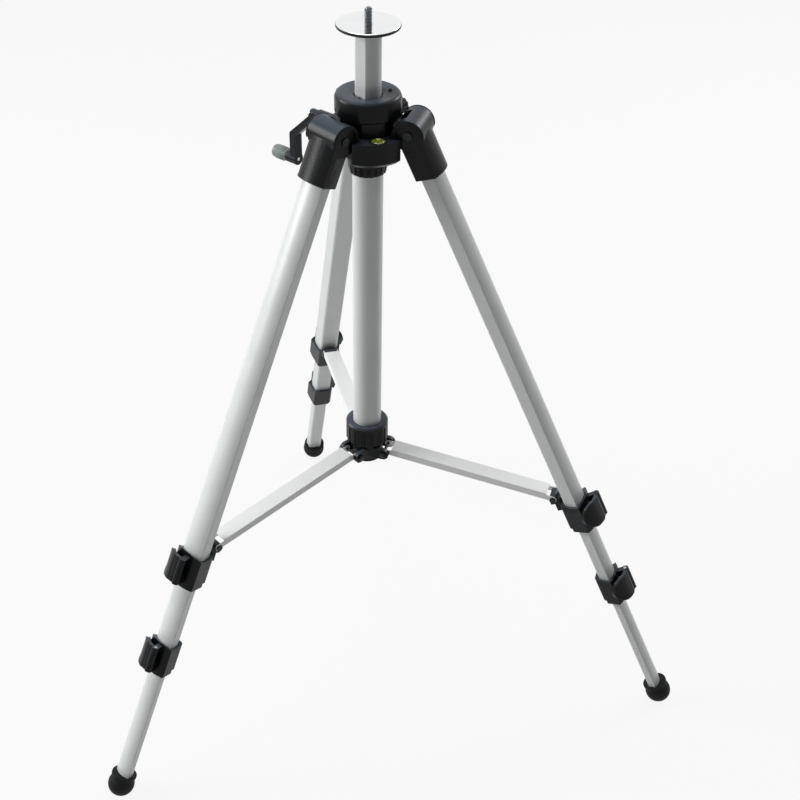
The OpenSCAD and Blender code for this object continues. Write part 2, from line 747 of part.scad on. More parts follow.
module instrument_stud() {
    color(steel) at_axis() translate([0, 0, plate_low_z - stud_shank]) rotate_extrude() polygon([
        [0, 0], [stud_shank_r, 0], [stud_shank_r, stud_shank + plate_t], [stud_r, stud_shank + plate_t],
        [stud_r, stud_shank + plate_t + stud_h - stud_tip],
        [stud_r - stud_tip, stud_shank + plate_t + stud_h], [0, stud_shank + plate_t + stud_h]]);
}

// Crank

module crank_shaft() {
    color(steel) on_shaft() translate([0, 0, -rack_w / 2])
        cylinder(r = shaft_r, h = shaft_reach + rack_w / 2);
}

module pinion() {
    half_tip = 0.17 * tooth_pitch;
    half_root = 0.3 * tooth_pitch;
    root_r = pinion_pitch_r - dedendum - fixed_gap;
    foot_r = shaft_r + fixed_gap;
    color("goldenrod") on_shaft() translate([0, 0, fixed_gap - rack_w / 2])
        linear_extrude(rack_w - 2 * fixed_gap) difference() {
            union() {
                circle(root_r);
                for (i = [0:pinion_teeth - 1]) rotate(90 + i * 360 / pinion_teeth) polygon([
                    [foot_r, -half_root], [pinion_tip_r, -half_tip],
                    [pinion_tip_r, half_tip], [foot_r, half_root]]);
            }
            circle(shaft_r + fixed_gap / 2);
        }
}

// Bar with round ends between two points of the crank arm's side view, across the arm's width
module crank_bar(p, q) {
    run = norm(q - p);
    translate([p[0], 0, p[1]]) rotate([0, atan2(-(q[1] - p[1]), q[0] - p[0]), 0]) {
        translate([0, -crank_w / 2, -crank_t / 2]) cube([run, crank_w, crank_t]);
        cross_pin(crank_t / 2, crank_w, 0, 0);
        cross_pin(crank_t / 2, crank_w, run, 0);
    }
}

module crank_arm() {
    root = [0, crank_hub_z + crank_t / 2 + fixed_gap];
    bend = [-crank_bend, crank_hub_z + crank_offset];
    end = [-crank_throw, crank_hub_z + crank_offset];
    color(black) on_shaft() difference() {
        union() {
            translate([0, 0, crank_hub_z]) cylinder(r = crank_hub_r, h = crank_hub_h);
            crank_bar(root, bend);
            crank_bar(bend, end);
            translate([-crank_throw, 0, crank_hub_z + crank_offset - crank_t / 2])
                cylinder(r = crank_end_r, h = crank_t + crank_end_h);
        }
        translate([0, 0, -1]) cylinder(r = shaft_r + fixed_gap / 2, h = shaft_reach + 1);
        translate([0, 0, shaft_reach]) cylinder(r = shaft_r + 1 + move_gap, h = long);
        translate([-crank_throw, 0, 0]) cylinder(r = pin_r + fixed_gap / 2, h = long);
    }
}

module crank_pins() {
    color(steel) on_shaft() {
        translate([0, 0, shaft_reach]) cylinder(r = shaft_r + 1, h = screw_head_h);
        translate([-crank_throw, 0, knob_low - move_gap - crank_t - crank_end_h])
            cylinder(r = pin_r, h = crank_t + crank_end_h + knob_h + 2 * move_gap);
        translate([-crank_throw, 0, knob_low + knob_h + move_gap])
            cylinder(r = spindle_head_r, h = rivet_head_t);
    }
}

module crank_knob() {
    bore = pin_r + run_gap;
    color("gray") on_shaft() translate([-crank_throw, 0, knob_low]) rotate_extrude() polygon([
        [bore, 0], [knob_r - knob_edge, 0], [knob_r - knob_edge / 2, knob_edge],
        [knob_r, knob_h - 2 * knob_edge],
        [knob_r - knob_edge / 4, knob_h - knob_edge / 2], [knob_r - knob_edge, knob_h], [bore, knob_h]]);
}

// Column lock

module lock_knob() {
    color(black) on_lock() translate([0, 0, lock_reach + move_gap]) difference() {
        union() {
            cylinder(r = lock_boss_r - move_gap, h = lock_collar_h + eps);
            translate([0, 0, lock_collar_h]) cylinder(r = lock_knob_r, h = lock_knob_h - lock_collar_h);
        }
        for (i = [0:lock_flutes - 1]) rotate(i * 360 / lock_flutes)
            translate([lock_knob_r + lock_flute_r / 2, 0, lock_collar_h])
                cylinder(r = lock_flute_r, h = long);
        translate([0, 0, -1]) cylinder(r = lock_screw_r + fixed_gap / 2, h = lock_knob_h - lock_collar_h + 1);
    }
}

module lock_screw() {
    color(steel) on_lock() translate([0, 0, column_r + move_gap])
        cylinder(r = lock_screw_r, h = lock_reach + lock_knob_h - lock_collar_h - column_r - move_gap);
}

// Spreader

module hub() {
    bore = outer_r + run_gap;
    color(black) difference() {
        union() {
            at_axis() translate([0, 0, hub_pivot_z]) rotate_extrude() polygon([
                [bore, -hub_bowl], [bore + hub_bowl_rim, -hub_bowl], [hub_r - 1, hub_bowl_h / 2 - hub_bowl],
                [hub_r, hub_bowl_h - hub_bowl], [hub_r, hub_shoulder],
                [bore + hub_neck_wall, hub_shoulder], [bore + hub_neck_wall, hub_shoulder + hub_neck_h],
                [bore, hub_shoulder + hub_neck_h]]);
            for (k = [0:2]) at_leg(k) difference() {
                for (side = [-1, 1]) translate([0, side * (brace_w + hub_ear_t + 2 * move_gap) / 2, 0]) {
                    cross_pin(hub_ear_r, hub_ear_t, hub_pivot_r, hub_pivot_z);
                    translate([0, -hub_ear_t / 2, hub_pivot_z - hub_ear_r])
                        cube([hub_pivot_r, hub_ear_t, 2 * hub_ear_r]);
                }
                translate([0, 0, hub_pivot_z - hub_bowl]) cylinder(r = hub_r - 1, h = long);
            }
        }
        for (k = [0:2]) at_leg(k) cross_pin(pin_r + fixed_gap / 2, long, hub_pivot_r, hub_pivot_z);
    }
}

module hub_rivets() {
    span = brace_w + 2 * hub_ear_t + 2 * move_gap;
    color(steel) for (k = [0:2]) at_leg(k) {
        cross_pin(pin_r, span + rivet_head_t, hub_pivot_r, hub_pivot_z);
        for (side = [-1, 1]) translate([0, side * (span + rivet_head_t) / 2, 0])
            cross_pin(rivet_head_r, rivet_head_t, hub_pivot_r, hub_pivot_z);
    }
}

module lock_ring() {
    collet_r = outer_r + run_gap + hub_neck_wall + run_gap;
    bore = outer_r + move_gap;
    color(black) at_axis() translate([0, 0, ring_z]) difference() {
        rotate_extrude() polygon([
            [collet_r, 0], [ring_r - ring_edge, 0], [ring_r, ring_edge], [ring_r, ring_h - ring_edge],
            [ring_r - ring_edge, ring_h], [bore, ring_h], [bore, hub_neck_h + move_gap],
            [collet_r, hub_neck_h + move_gap]]);
        for (i = [0:ring_flutes - 1]) rotate(i * 360 / ring_flutes)
            translate([ring_r + flute_r / 3, 0, -1]) cylinder(r = flute_r, h = ring_h - ring_band + 1);
    }
}

module brace(k) {
    color(silver) at_leg(k) translate([hub_pivot_r, 0, hub_pivot_z])
        rotate([0, brace_slope, 0]) difference() {
        union() {
            translate([brace_setback, -brace_w / 2, brace_rise - brace_t])
                cube([brace_len - 2 * brace_setback, brace_w, brace_t]);
            for (side = [-1, 1]) translate([0, side * (brace_w - brace_t) / 2, 0]) {
                translate([brace_setback, -brace_t / 2, brace_rise - brace_depth])
                    cube([brace_len - 2 * brace_setback, brace_t, brace_depth]);
                for (x = [0, brace_len - brace_setback])
                    translate([x, -brace_t / 2, brace_rise - brace_depth])
                        cube([brace_setback, brace_t, brace_depth + brace_end_r - brace_rise]);
                for (x = [0, brace_len]) cross_pin(brace_end_r, brace_t, x, 0);
            }
        }
        for (x = [0, brace_len]) cross_pin(pin_r + run_gap, long, x, 0);
    }
}

// Legs

module knuckle(k) {
    color(black) on_leg(k) translate([0, 0, leg_len]) difference() {
        union() {
            cross_pin(dome_r, knuckle_w);
            leg_prism(knuckle_w, sleeve_d, -sleeve_len, 0);
        }
        cross_pin(hollow_r, arm_w + 2 * move_gap);
        translate([-long, -arm_w / 2 - move_gap, -hollow_floor])
            cube([long + hollow_lip, arm_w + 2 * move_gap, long]);
        leg_prism(upper_w + 2 * fixed_gap, upper_d + 2 * fixed_gap,
            -long, fixed_gap - hollow_floor - sleeve_web);
        for (side = [0, 1]) mirror([0, side, 0]) translate([0, knuckle_w / 2 - cheek_recess, 0])
            rotate([90, 0, 180]) mirror([1, 0, 0]) linear_extrude(long) knuckle_side(cheek_rim);
    }
}

module upper_tube(k) {
    color(silver) on_leg(k) leg_tube(upper_w, upper_d, upper_low_s, upper_top_s);
}

module upper_clamp(k) {
    tongue = brace_w - 2 * brace_t - 2 * move_gap;
    color(black) on_leg(k) translate([0, 0, upper_clamp_s]) difference() {
        union() {
            clamp_collar(upper_w, upper_d, middle_w, middle_d);
            difference() {
                union() {
                    cross_pin(lug_r, tongue, lug_x, lug_rise);
                    translate([lug_x, -tongue / 2, lug_rise - lug_root_h])
                        cube([lug_reach + 1, tongue, lug_root_h]);
                    translate([lug_x - lug_r, -tongue / 2, lug_rise - lug_heel_h])
                        cube([lug_r + 1, tongue, lug_heel_h]);
                }
                leg_prism(upper_w + 2 * fixed_gap, upper_d + 2 * fixed_gap, -clamp_h, clamp_h);
            }
        }
        cross_pin(pin_r + fixed_gap / 2, long, lug_x, lug_rise);
    }
}

module upper_lever(k) {
    color(black) on_leg(k) translate([0, 0, upper_clamp_s]) clamp_lever(upper_w, upper_d);
}

module upper_pins(k) {
    color(steel) on_leg(k) {
        translate([0, 0, upper_clamp_s]) {
            lever_pin(upper_w, upper_d);
            cross_pin(pin_r, brace_w + 2 * fixed_gap + rivet_head_t, lug_x, lug_rise);
            for (side = [-1, 1]) translate([0, side * (brace_w / 2 + rivet_head_t / 2 + fixed_gap), 0])
                cross_pin(rivet_head_r, rivet_head_t, lug_x, lug_rise);
        }
        for (side = [-1, 1]) translate([0, side * (knuckle_w / 2 - cheek_recess + bolt_head_h / 2), leg_len])
            cross_pin(bolt_head_r, bolt_head_h);
    }
}

module middle_tube(k) {
    color(silver) on_leg(k) leg_tube(middle_w, middle_d, middle_low_s, middle_low_s + middle_len);
}

module lower_clamp(k) {
    color(black) on_leg(k) translate([0, 0, lower_clamp_s])
        clamp_collar(middle_w, middle_d, lower_w, lower_d);
}

module lower_lever(k) {
    color(black) on_leg(k) translate([0, 0, lower_clamp_s]) clamp_lever(middle_w, middle_d);
}

module lower_pin(k) {
    color(steel) on_leg(k) translate([0, 0, lower_clamp_s]) lever_pin(middle_w, middle_d);
}

module lower_tube(k) {
    color(silver) on_leg(k) leg_tube(lower_w, lower_d, foot_seat, foot_seat + lower_len);
}

module foot(k) {
    color(black) difference() {
        on_leg(k) difference() {
            union() {
                sphere(foot_ball_r);
                cylinder(r = foot_sleeve_r, h = foot_sleeve_h);
                translate([0, 0, foot_sleeve_h - foot_lip_h])
                    cylinder(r = foot_sleeve_r + foot_lip, h = foot_lip_h);
            }
            leg_prism(lower_w + 2 * fixed_gap, lower_d + 2 * fixed_gap,
                foot_seat - fixed_gap, foot_sleeve_h + 1);
        }
        translate([-long * 4, -long * 4, -long]) cube([long * 8, long * 8, long]);
    }
}

crown();
crown_cap();
outer_tube();
tube_end_plug();
column_bush();
shaft_bush();
level_vial();
leg_pivot_pins();
centre_column();
column_rack();
column_guide();
top_plate();
instrument_stud();
crank_shaft();
pinion();
crank_arm();
crank_pins();
crank_knob();
lock_knob();
lock_screw();
hub();
hub_rivets();
lock_ring();
for (k = [0:2]) {
    knuckle(k);
    upper_tube(k);
    upper_clamp(k);
    upper_lever(k);
    upper_pins(k);
    middle_tube(k);
    lower_clamp(k);
    lower_lever(k);
    lower_pin(k);
    lower_tube(k);
    foot(k);
    brace(k);
}
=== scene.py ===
"""Elevating tripod: finishes, fine detail and studio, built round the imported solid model.

Everything is in metres in the solid model's own frame: the feet stand on z = 0, the
rear leg points along +Y and the centre column stands at (0, COLUMN_Y).
"""

import json
import logging
import math
from collections.abc import Callable
from dataclasses import dataclass, field
from enum import Enum

import bmesh
import bpy
from mathutils import Matrix, Vector


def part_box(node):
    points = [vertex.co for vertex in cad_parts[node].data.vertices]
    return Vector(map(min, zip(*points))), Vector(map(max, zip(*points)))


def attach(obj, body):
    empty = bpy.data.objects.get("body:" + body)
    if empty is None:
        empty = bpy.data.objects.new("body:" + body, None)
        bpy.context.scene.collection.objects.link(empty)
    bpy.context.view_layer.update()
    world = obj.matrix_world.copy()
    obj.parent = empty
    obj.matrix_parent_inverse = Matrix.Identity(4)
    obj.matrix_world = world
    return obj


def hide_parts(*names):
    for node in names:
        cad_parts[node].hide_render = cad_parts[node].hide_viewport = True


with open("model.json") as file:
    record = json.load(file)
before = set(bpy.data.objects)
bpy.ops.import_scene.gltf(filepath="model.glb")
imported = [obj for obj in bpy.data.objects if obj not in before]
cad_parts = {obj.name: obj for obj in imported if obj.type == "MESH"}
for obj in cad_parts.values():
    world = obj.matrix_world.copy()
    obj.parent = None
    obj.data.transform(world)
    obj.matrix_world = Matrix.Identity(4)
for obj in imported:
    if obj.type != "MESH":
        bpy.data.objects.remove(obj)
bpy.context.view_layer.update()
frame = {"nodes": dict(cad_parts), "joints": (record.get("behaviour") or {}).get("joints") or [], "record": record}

log = logging.getLogger("tripod")

MM = 0.001
JOINTS = {joint["name"]: joint for joint in frame["joints"]}
MOUNTS = {mount["name"]: mount for mount in frame["record"]["mounts"]}
BODY_OF = {
    node: body
    for body, nodes in frame["record"]["behaviour"]["bodies"].items()
    for node in nodes
}
SLOT_OF = {part["node"]: part["material_slot"] for part in frame["record"]["subparts"]}
COLUMN_Y = MOUNTS["instrument_stud"]["pos_m"][1]

UP = Vector((0, 0, 1))
WHITE = (1.0, 1.0, 1.0, 1.0)
MERGE = 2e-6  # points of a solid nearer than this are one
FLAT_DEG = 0.4  # faces that meet at a smaller angle are one flat face
ON_AXIS = 1e-7  # a profile point with a smaller radius lies on the axis
SHARE, FROM, TO, MIXED = 0, 6, 7, 2  # a Mix node's colour sockets, the last one its output
DETAIL = 3.0  # octaves of the clouds and grains
GRAIN_LOW, GRAIN_HIGH = 0.3, 0.7  # most of a noise lies between these
WAVE_PERIOD = 0.31  # a wave texture of scale 1 repeats in about this many units


class LegName(Enum):
    """The three legs, by the names that their solids carry."""

    FRONT_LEFT = "front_left"
    FRONT_RIGHT = "front_right"
    REAR = "rear"


# Helpers


def linear(colour: str) -> tuple[float, float, float, float]:
    """Turns an sRGB hex colour to linear light, by the curve of the sRGB standard.

    Args:
        colour: six hex digits after a hash sign.

    Returns:
        Red, green, blue and an alpha of 1.
    """
    parts = [int(colour[i:i + 2], 16) / 255 for i in (1, 3, 5)]
    lit = [c / 12.92 if c <= 0.04045 else ((c + 0.055) / 1.055) ** 2.4 for c in parts]
    return (lit[0], lit[1], lit[2], 1.0)


def add(tree: bpy.types.NodeTree, kind: str, inputs: dict | None = None,
        **settings: object) -> bpy.types.Node:
    """Adds one node with its settings and links.

    Args:
        tree: the shader or geometry tree.
        kind: the node's type name.
        inputs: socket name or index, to a plain value or to another node's output.
        settings: the node's own properties.

    Returns:
        The new node.
    """
    made = tree.nodes.new(kind)
    for key, value in settings.items():
        setattr(made, key, value)
    for key, value in (inputs or {}).items():
        if isinstance(value, bpy.types.NodeSocket):
            tree.links.new(value, made.inputs[key])
        else:
            made.inputs[key].default_value = value
    return made


def seen_rays(tree: bpy.types.NodeTree) -> bpy.types.NodeSocket:
    """Picks out the rays that show a surface: to the camera, mirrored or through glass.

    Args:
        tree: the nodes of a material or of the world.

    Returns:
        A socket that is 1 on such a ray and 0 on one that only carries light.
    """
    path = add(tree, "ShaderNodeLightPath")
    seen = path.outputs["Is Camera Ray"]
    for ray in ("Is Glossy Ray", "Is Transmission Ray"):
        either = add(tree, "ShaderNodeMath", {0: seen, 1: path.outputs[ray]}, operation="MAXIMUM")
        seen = either.outputs[0]
    return seen


def axis_of(joint: str) -> Vector:
    """Returns the direction of a joint's axis."""
    return Vector(JOINTS[joint]["axis"])


def place_of(joint: str) -> Vector:
    """Returns the place of a hinge."""
    return Vector(JOINTS[joint]["pos_m"])


def turn_to(axis: Vector) -> tuple[float, float, float]:
    """Returns the Euler angles that turn z to an axis."""
    return tuple(UP.rotation_difference(axis).to_euler())


def square_to(axis: Vector, way: Vector) -> Vector:
    """Returns the share of a vector that is square to an axis."""
    return way - axis * way.dot(axis)


def solids(*names: str) -> list[bpy.types.Object]:
    """Returns the solid model's own objects by name."""
    return [frame["nodes"][name] for name in names]


def points_from(centre: Vector, node: str) -> list[Vector]:
    """Returns the points of a solid as seen from a centre."""
    return [vertex.co - centre for vertex in frame["nodes"][node].data.vertices]


def piece_from(name: str, mesh: bpy.types.Mesh) -> bpy.types.Object:
    """Puts a mesh in the scene as an object at the origin.

    Args:
        name: the object's name.
        mesh: its mesh, already in place.

    Returns:
        The object.
    """
    mesh.name = name
    made = bpy.data.objects.new(name, mesh)
    bpy.context.scene.collection.objects.link(made)
    return made


def baked(piece: bpy.types.Object) -> bpy.types.Object:
    """Applies an object's modifiers and removes them.

    Args:
        piece: the object with its modifiers set.

    Returns:
        The same object with the finished mesh.
    """
    graph = bpy.context.evaluated_depsgraph_get()
    graph.update()
    mesh = bpy.data.meshes.new_from_object(
        piece.evaluated_get(graph), preserve_all_data_layers=True, depsgraph=graph)
    piece.modifiers.clear()
    piece.data = mesh
    mesh.name = piece.name
    return piece


def smoothed(mesh: bpy.types.Mesh, angle: float = 32.0) -> None:
    """Shades a mesh smooth, with its edges above an angle in degrees left sharp."""
    mesh.shade_smooth()
    mesh.set_sharp_from_angle(angle=math.radians(angle))


def cleaned(node: str) -> bmesh.types.BMesh:
    """Copies a solid's mesh with its points merged and its flat faces whole.

    Args:
        node: the solid's name.

    Returns:
        The copy, to be freed after use.
    """
    work = bmesh.new()
    work.from_mesh(frame["nodes"][node].data)
    bmesh.ops.remove_doubles(work, verts=work.verts, dist=MERGE)
    bmesh.ops.dissolve_degenerate(work, dist=MERGE, edges=work.edges)
    bmesh.ops.dissolve_limit(
        work, angle_limit=math.radians(FLAT_DEG), verts=work.verts, edges=work.edges)
    bmesh.ops.recalc_face_normals(work, faces=work.faces)
    return work


def softened(node: str, width: float, segments: int = 3, angle: float = 34.0) -> bpy.types.Object:
    """Copies a solid with its edges rounded, as a moulding has them, and shows the copy.

    Args:
        node: the solid's name.
        width: rounding width in metres.
        segments: facets across a rounding.
        angle: smallest angle between faces, in degrees, that is rounded.

    Returns:
        The copy, riding on the solid's body and standing for the solid.
    """
    mesh = bpy.data.meshes.new(node + "_soft")
    work = cleaned(node)
    work.to_mesh(mesh)
    work.free()
    if "custom_normal" in mesh.attributes:
        mesh.attributes.remove(mesh.attributes["custom_normal"])
    piece = piece_from(node + "_soft", mesh)
    smoothed(mesh, angle)
    bevel = piece.modifiers.new("rounding", "BEVEL")
    bevel.width = width
    bevel.segments = segments
    bevel.limit_method = "ANGLE"
    bevel.angle_limit = math.radians(angle)
    bevel.use_clamp_overlap = True
    bevel.harden_normals = False
    weighted = piece.modifiers.new("flat faces", "WEIGHTED_NORMAL")
    weighted.keep_sharp = True
    baked(piece)
    settle(piece, BODY_OF[node], SLOT_OF[node], node)
    return piece


def settle(piece: bpy.types.Object, body: str, slot: str, *nodes: str) -> None:
    """Makes a piece ride on a body and hides the solids it stands for.

    Args:
        piece: the finished piece.
        body: the body that it moves with.
        slot: the material slot of the record; not used.
        nodes: solids that the piece replaces.
    """
    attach(piece, body)
    if nodes:
        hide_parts(*nodes)
    log.info("%s rides on %s", piece.name, body)


def lathe(name: str, profile: list[tuple[float, float]], place: Matrix,
          steps: int = 64) -> bpy.types.Object:
    """Turns a profile about an axis.

    Args:
        name: the object's name.
        profile: radius and height of each point in metres, in order along the section.
        place: takes the axis z of the profile to its place.
        steps: points round the axis.

    Returns:
        The turned object, closed where its profile starts and ends on the axis or in one point.
    """
    work = bmesh.new()
    turns = [2 * math.pi * i / steps for i in range(steps)]
    rings = []
    for radius, height in profile:
        if radius < ON_AXIS:
            spots = [Vector((0, 0, height))]
        else:
            spots = [Vector((radius * math.cos(a), radius * math.sin(a), height)) for a in turns]
        rings.append([work.verts.new(place @ spot) for spot in spots])
    for low, high in zip(rings, rings[1:]):
        for i in range(steps):
            j = (i + 1) % steps
            ends = ((low, i), (low, j), (high, j), (high, i))
            corners = list(dict.fromkeys(ring[k % len(ring)] for ring, k in ends))
            if len(corners) > 2:
                work.faces.new(corners)
    bmesh.ops.recalc_face_normals(work, faces=work.faces)
    mesh = bpy.data.meshes.new(name)
    work.to_mesh(mesh)
    work.free()
    smoothed(mesh)
    return piece_from(name, mesh)


def joined(name: str, pieces: list[bpy.types.Object]) -> bpy.types.Object:
    """Joins plain meshes into one object.

    Args:
        name: the new object's name.
        pieces: objects at the origin, each with its materials.

    Returns:
        The joined object.
    """
    with bpy.context.temp_override(active_object=pieces[0], selected_editable_objects=pieces):
        bpy.ops.object.join()
    pieces[0].name = name
    pieces[0].data.name = name
    return pieces[0]


def end_reach(node: str, centre: Vector, axis: Vector, near: float = 4 * MM) -> float:
    """Measures how far a pin runs from its middle.

    Args:
        node: the solid that holds the pin.
        centre: middle of the pin.
        axis: direction of the pin.
        near: largest distance of the pin's surface from its axis.

    Returns:
        Distance from the middle to the pin's end in metres.
    """
    points = points_from(centre, node)
    return max(point.dot(axis) for point in points if square_to(axis, point).length < near)


# Finishes


@dataclass(frozen=True)
class Finish:
    """Surface of one real material, with what every finish has.

    Attributes:
        name: common name of the material and how its surface was made.
        colour: main colour as sRGB hex.
        shade: second colour that the pattern mixes in.
        roughness: middle roughness.
        metallic: 1 for bare metal.
        specular: share of the clear reflection, 0.5 for plain plastic, less for a matt moulding.
    """

    name: str
    colour: str
    shade: str
    roughness: float
    metallic: float = 0.0
    specular: float = 0.5

    def material(self) -> bpy.types.Material:
        """Makes the finish's material when it is first asked for.

        Returns:
            The material.
        """
        made = bpy.data.materials.get(self.name)
        if made is None:
            made = bpy.data.materials.new(self.name)
            made.use_nodes = True
            made.diffuse_color = linear(self.colour)
            shader = made.node_tree.nodes["Principled BSDF"]
            shader.inputs["Metallic"].default_value = self.metallic
            shader.inputs["Roughness"].default_value = self.roughness
            shader.inputs["Specular IOR Level"].default_value = self.specular
            self.lay(made.node_tree, shader)
        return made

    def dress(self, *pieces: bpy.types.Object) -> None:
        """Gives pieces this finish all over.

        Args:
            pieces: pieces of the scene or solids that are shown as they are.
        """
        for piece in pieces:
            piece.data.materials.clear()
            piece.data.materials.append(self.material())

    def lay(self, tree: bpy.types.NodeTree, shader: bpy.types.Node) -> None:
        """Lays the finish's pattern on the shader, in each finish's own way.

        Args:
            tree: the material's nodes.
            shader: its main shader.
        """
        raise NotImplementedError

    def clouded(self, tree: bpy.types.NodeTree, place: bpy.types.NodeSocket,
                scale: float) -> tuple[bpy.types.NodeSocket, bpy.types.NodeSocket]:
        """Clouds the main colour with the second one.

        Args:
            tree: the material's nodes.
            place: the coordinates to cloud in.
            scale: clouds in one unit of them.

        Returns:
            The cloud's strength and the clouded colour.
        """
        cloud = add(tree, "ShaderNodeTexNoise", {
            "Vector": place, "Scale": scale, "Detail": DETAIL}).outputs["Fac"]
        tone = add(tree, "ShaderNodeMix", {
            SHARE: cloud, FROM: linear(self.colour), TO: linear(self.shade)}, data_type="RGBA")
        return cloud, tone.outputs[MIXED]

    def grained(self, tree: bpy.types.NodeTree, shader: bpy.types.Node,
                grain: bpy.types.NodeSocket, spread: tuple[float, float],
                strength: float, relief_mm: float) -> None:
        """Lets a grain change the roughness and stand out of the surface.

        Args:
            tree: the material's nodes.
            shader: its main shader.
            grain: height of the grain.
            spread: what the grain's hollows and tops add to the roughness.
            strength: strength of the relief.
            relief_mm: depth of the relief.
        """
        rough = add(tree, "ShaderNodeMapRange", {
            "Value": grain, "From Min": GRAIN_LOW, "From Max": GRAIN_HIGH,
            "To Min": self.roughness + spread[0], "To Max": self.roughness + spread[1]})
        bump = add(tree, "ShaderNodeBump", {
            "Height": grain, "Strength": strength, "Distance": relief_mm * MM})
        tree.links.new(rough.outputs["Result"], shader.inputs["Roughness"])
        tree.links.new(bump.outputs["Normal"], shader.inputs["Normal"])


@dataclass(frozen=True)
class AnodisedAluminium(Finish):
    """Extruded aluminium, satin etched and clear anodised.

    Fine die lines run along the tube, and the etch leaves a soft cloudy tone. The die lines are
    really about 0.2 mm apart and are drawn at line_mm, as coarse as they need to be to show.
    """

    turn: tuple[float, float, float] = (0.0, 0.0, 0.0)
    line_mm: float = 1.1
    line_run: float = 120.0  # length of a die line in its widths
    line_detail: float = 2.0
    cloud_mm: float = 26.0
    spread: tuple[float, float] = (-0.06, 0.07)
    strength: float = 0.12
    relief_mm: float = 0.04

    def lay(self, tree: bpy.types.NodeTree, shader: bpy.types.Node) -> None:
        """Lays die lines along the tube and cloudy etching on the shader.

        Args:
            tree: the material's nodes.
            shader: its main shader.
        """
        place = add(tree, "ShaderNodeTexCoord").outputs["Object"]
        line = self.line_mm * MM
        along = add(tree, "ShaderNodeMapping", {
            "Vector": place, "Rotation": self.turn, "Scale": (line, line, self.line_run * line)},
            vector_type="TEXTURE")
        dies = add(tree, "ShaderNodeTexNoise", {
            "Vector": along.outputs["Vector"], "Scale": 1.0, "Detail": self.line_detail})
        _, tone = self.clouded(tree, place, 1 / (self.cloud_mm * MM))
        tree.links.new(tone, shader.inputs["Base Color"])
        self.grained(
            tree, shader, dies.outputs["Fac"], self.spread, self.strength, self.relief_mm)


@dataclass(frozen=True)
class MouldedNylon(Finish):
    """Glass-filled nylon, injection moulded in a spark-eroded tool.

    The tool leaves a fine matt grain. The edges are a little paler, partly from wear by handling
    and partly as a painted highlight along the rims, and a blue-grey painted sheen, standing in
    for the highlight of overhead light, lies on the surfaces that face up.
    """

    grain_mm: float = 0.9
    grain_rough: float = 0.6  # how strongly the finer octaves of the grain come through
    cloud_mm: float = 14.0
    # paler edge colour: wear from handling and a painted highlight along the rims
    edge_wear_and_highlight: str = "#2a2e34"
    # painted sheen: the colour of the highlight that overhead light would give faces that look up
    painted_sheen: str = "#4a525b"
    edges: tuple[float, float] = (0.52, 0.62)  # pointiness where the paler edge, from wear and painted highlight, starts and is full
    upward: tuple[float, float] = (0.4, 1.0)  # rise of a face where the painted sheen starts and is full
    spread: tuple[float, float] = (-0.06, 0.08)
    strength: float = 0.22
    relief_mm: float = 0.1

    def lay(self, tree: bpy.types.NodeTree, shader: bpy.types.Node) -> None:
        """Lays moulded grain, a painted sheen on faces that look up, and edges made paler by wear and a painted
        highlight.

        Args:
            tree: the material's nodes.
            shader: its main shader.
        """
        coords = add(tree, "ShaderNodeTexCoord")
        place = coords.outputs["Object"]
        grain = add(tree, "ShaderNodeTexNoise", {
            "Vector": place, "Scale": 1 / (self.grain_mm * MM), "Detail": DETAIL,
            "Roughness": self.grain_rough})
        cloud, tone = self.clouded(tree, place, 1 / (self.cloud_mm * MM))
        facing = add(tree, "ShaderNodeSeparateXYZ", {"Vector": coords.outputs["Normal"]})
        upward = add(tree, "ShaderNodeMapRange", {
            "Value": facing.outputs["Z"], "From Min": self.upward[0], "From Max": self.upward[1]},
            interpolation_type="SMOOTHSTEP")
        # painted sheen: faces that look up are mixed towards the sheen colour, as if lit from overhead
        sheened = add(tree, "ShaderNodeMix", {
            SHARE: upward.outputs["Result"], FROM: tone, TO: linear(self.painted_sheen)}, data_type="RGBA")
        # edges made paler by wear and by a painted highlight along the rims, picked by pointiness
        edge = add(tree, "ShaderNodeNewGeometry").outputs["Pointiness"]
        worn_lit_edges = add(tree, "ShaderNodeMapRange", {
            "Value": edge, "From Min": self.edges[0], "From Max": self.edges[1]})
        worn_lit_share = add(tree, "ShaderNodeMath", {
            0: worn_lit_edges.outputs["Result"], 1: cloud}, operation="MULTIPLY")
        last = add(tree, "ShaderNodeMix", {
            SHARE: worn_lit_share.outputs[0], FROM: sheened.outputs[MIXED], TO: linear(self.edge_wear_and_highlight)},
            data_type="RGBA")
        tree.links.new(last.outputs[MIXED], shader.inputs["Base Color"])
        self.grained(
            tree, shader, grain.outputs["Fac"], self.spread, self.strength, self.relief_mm)


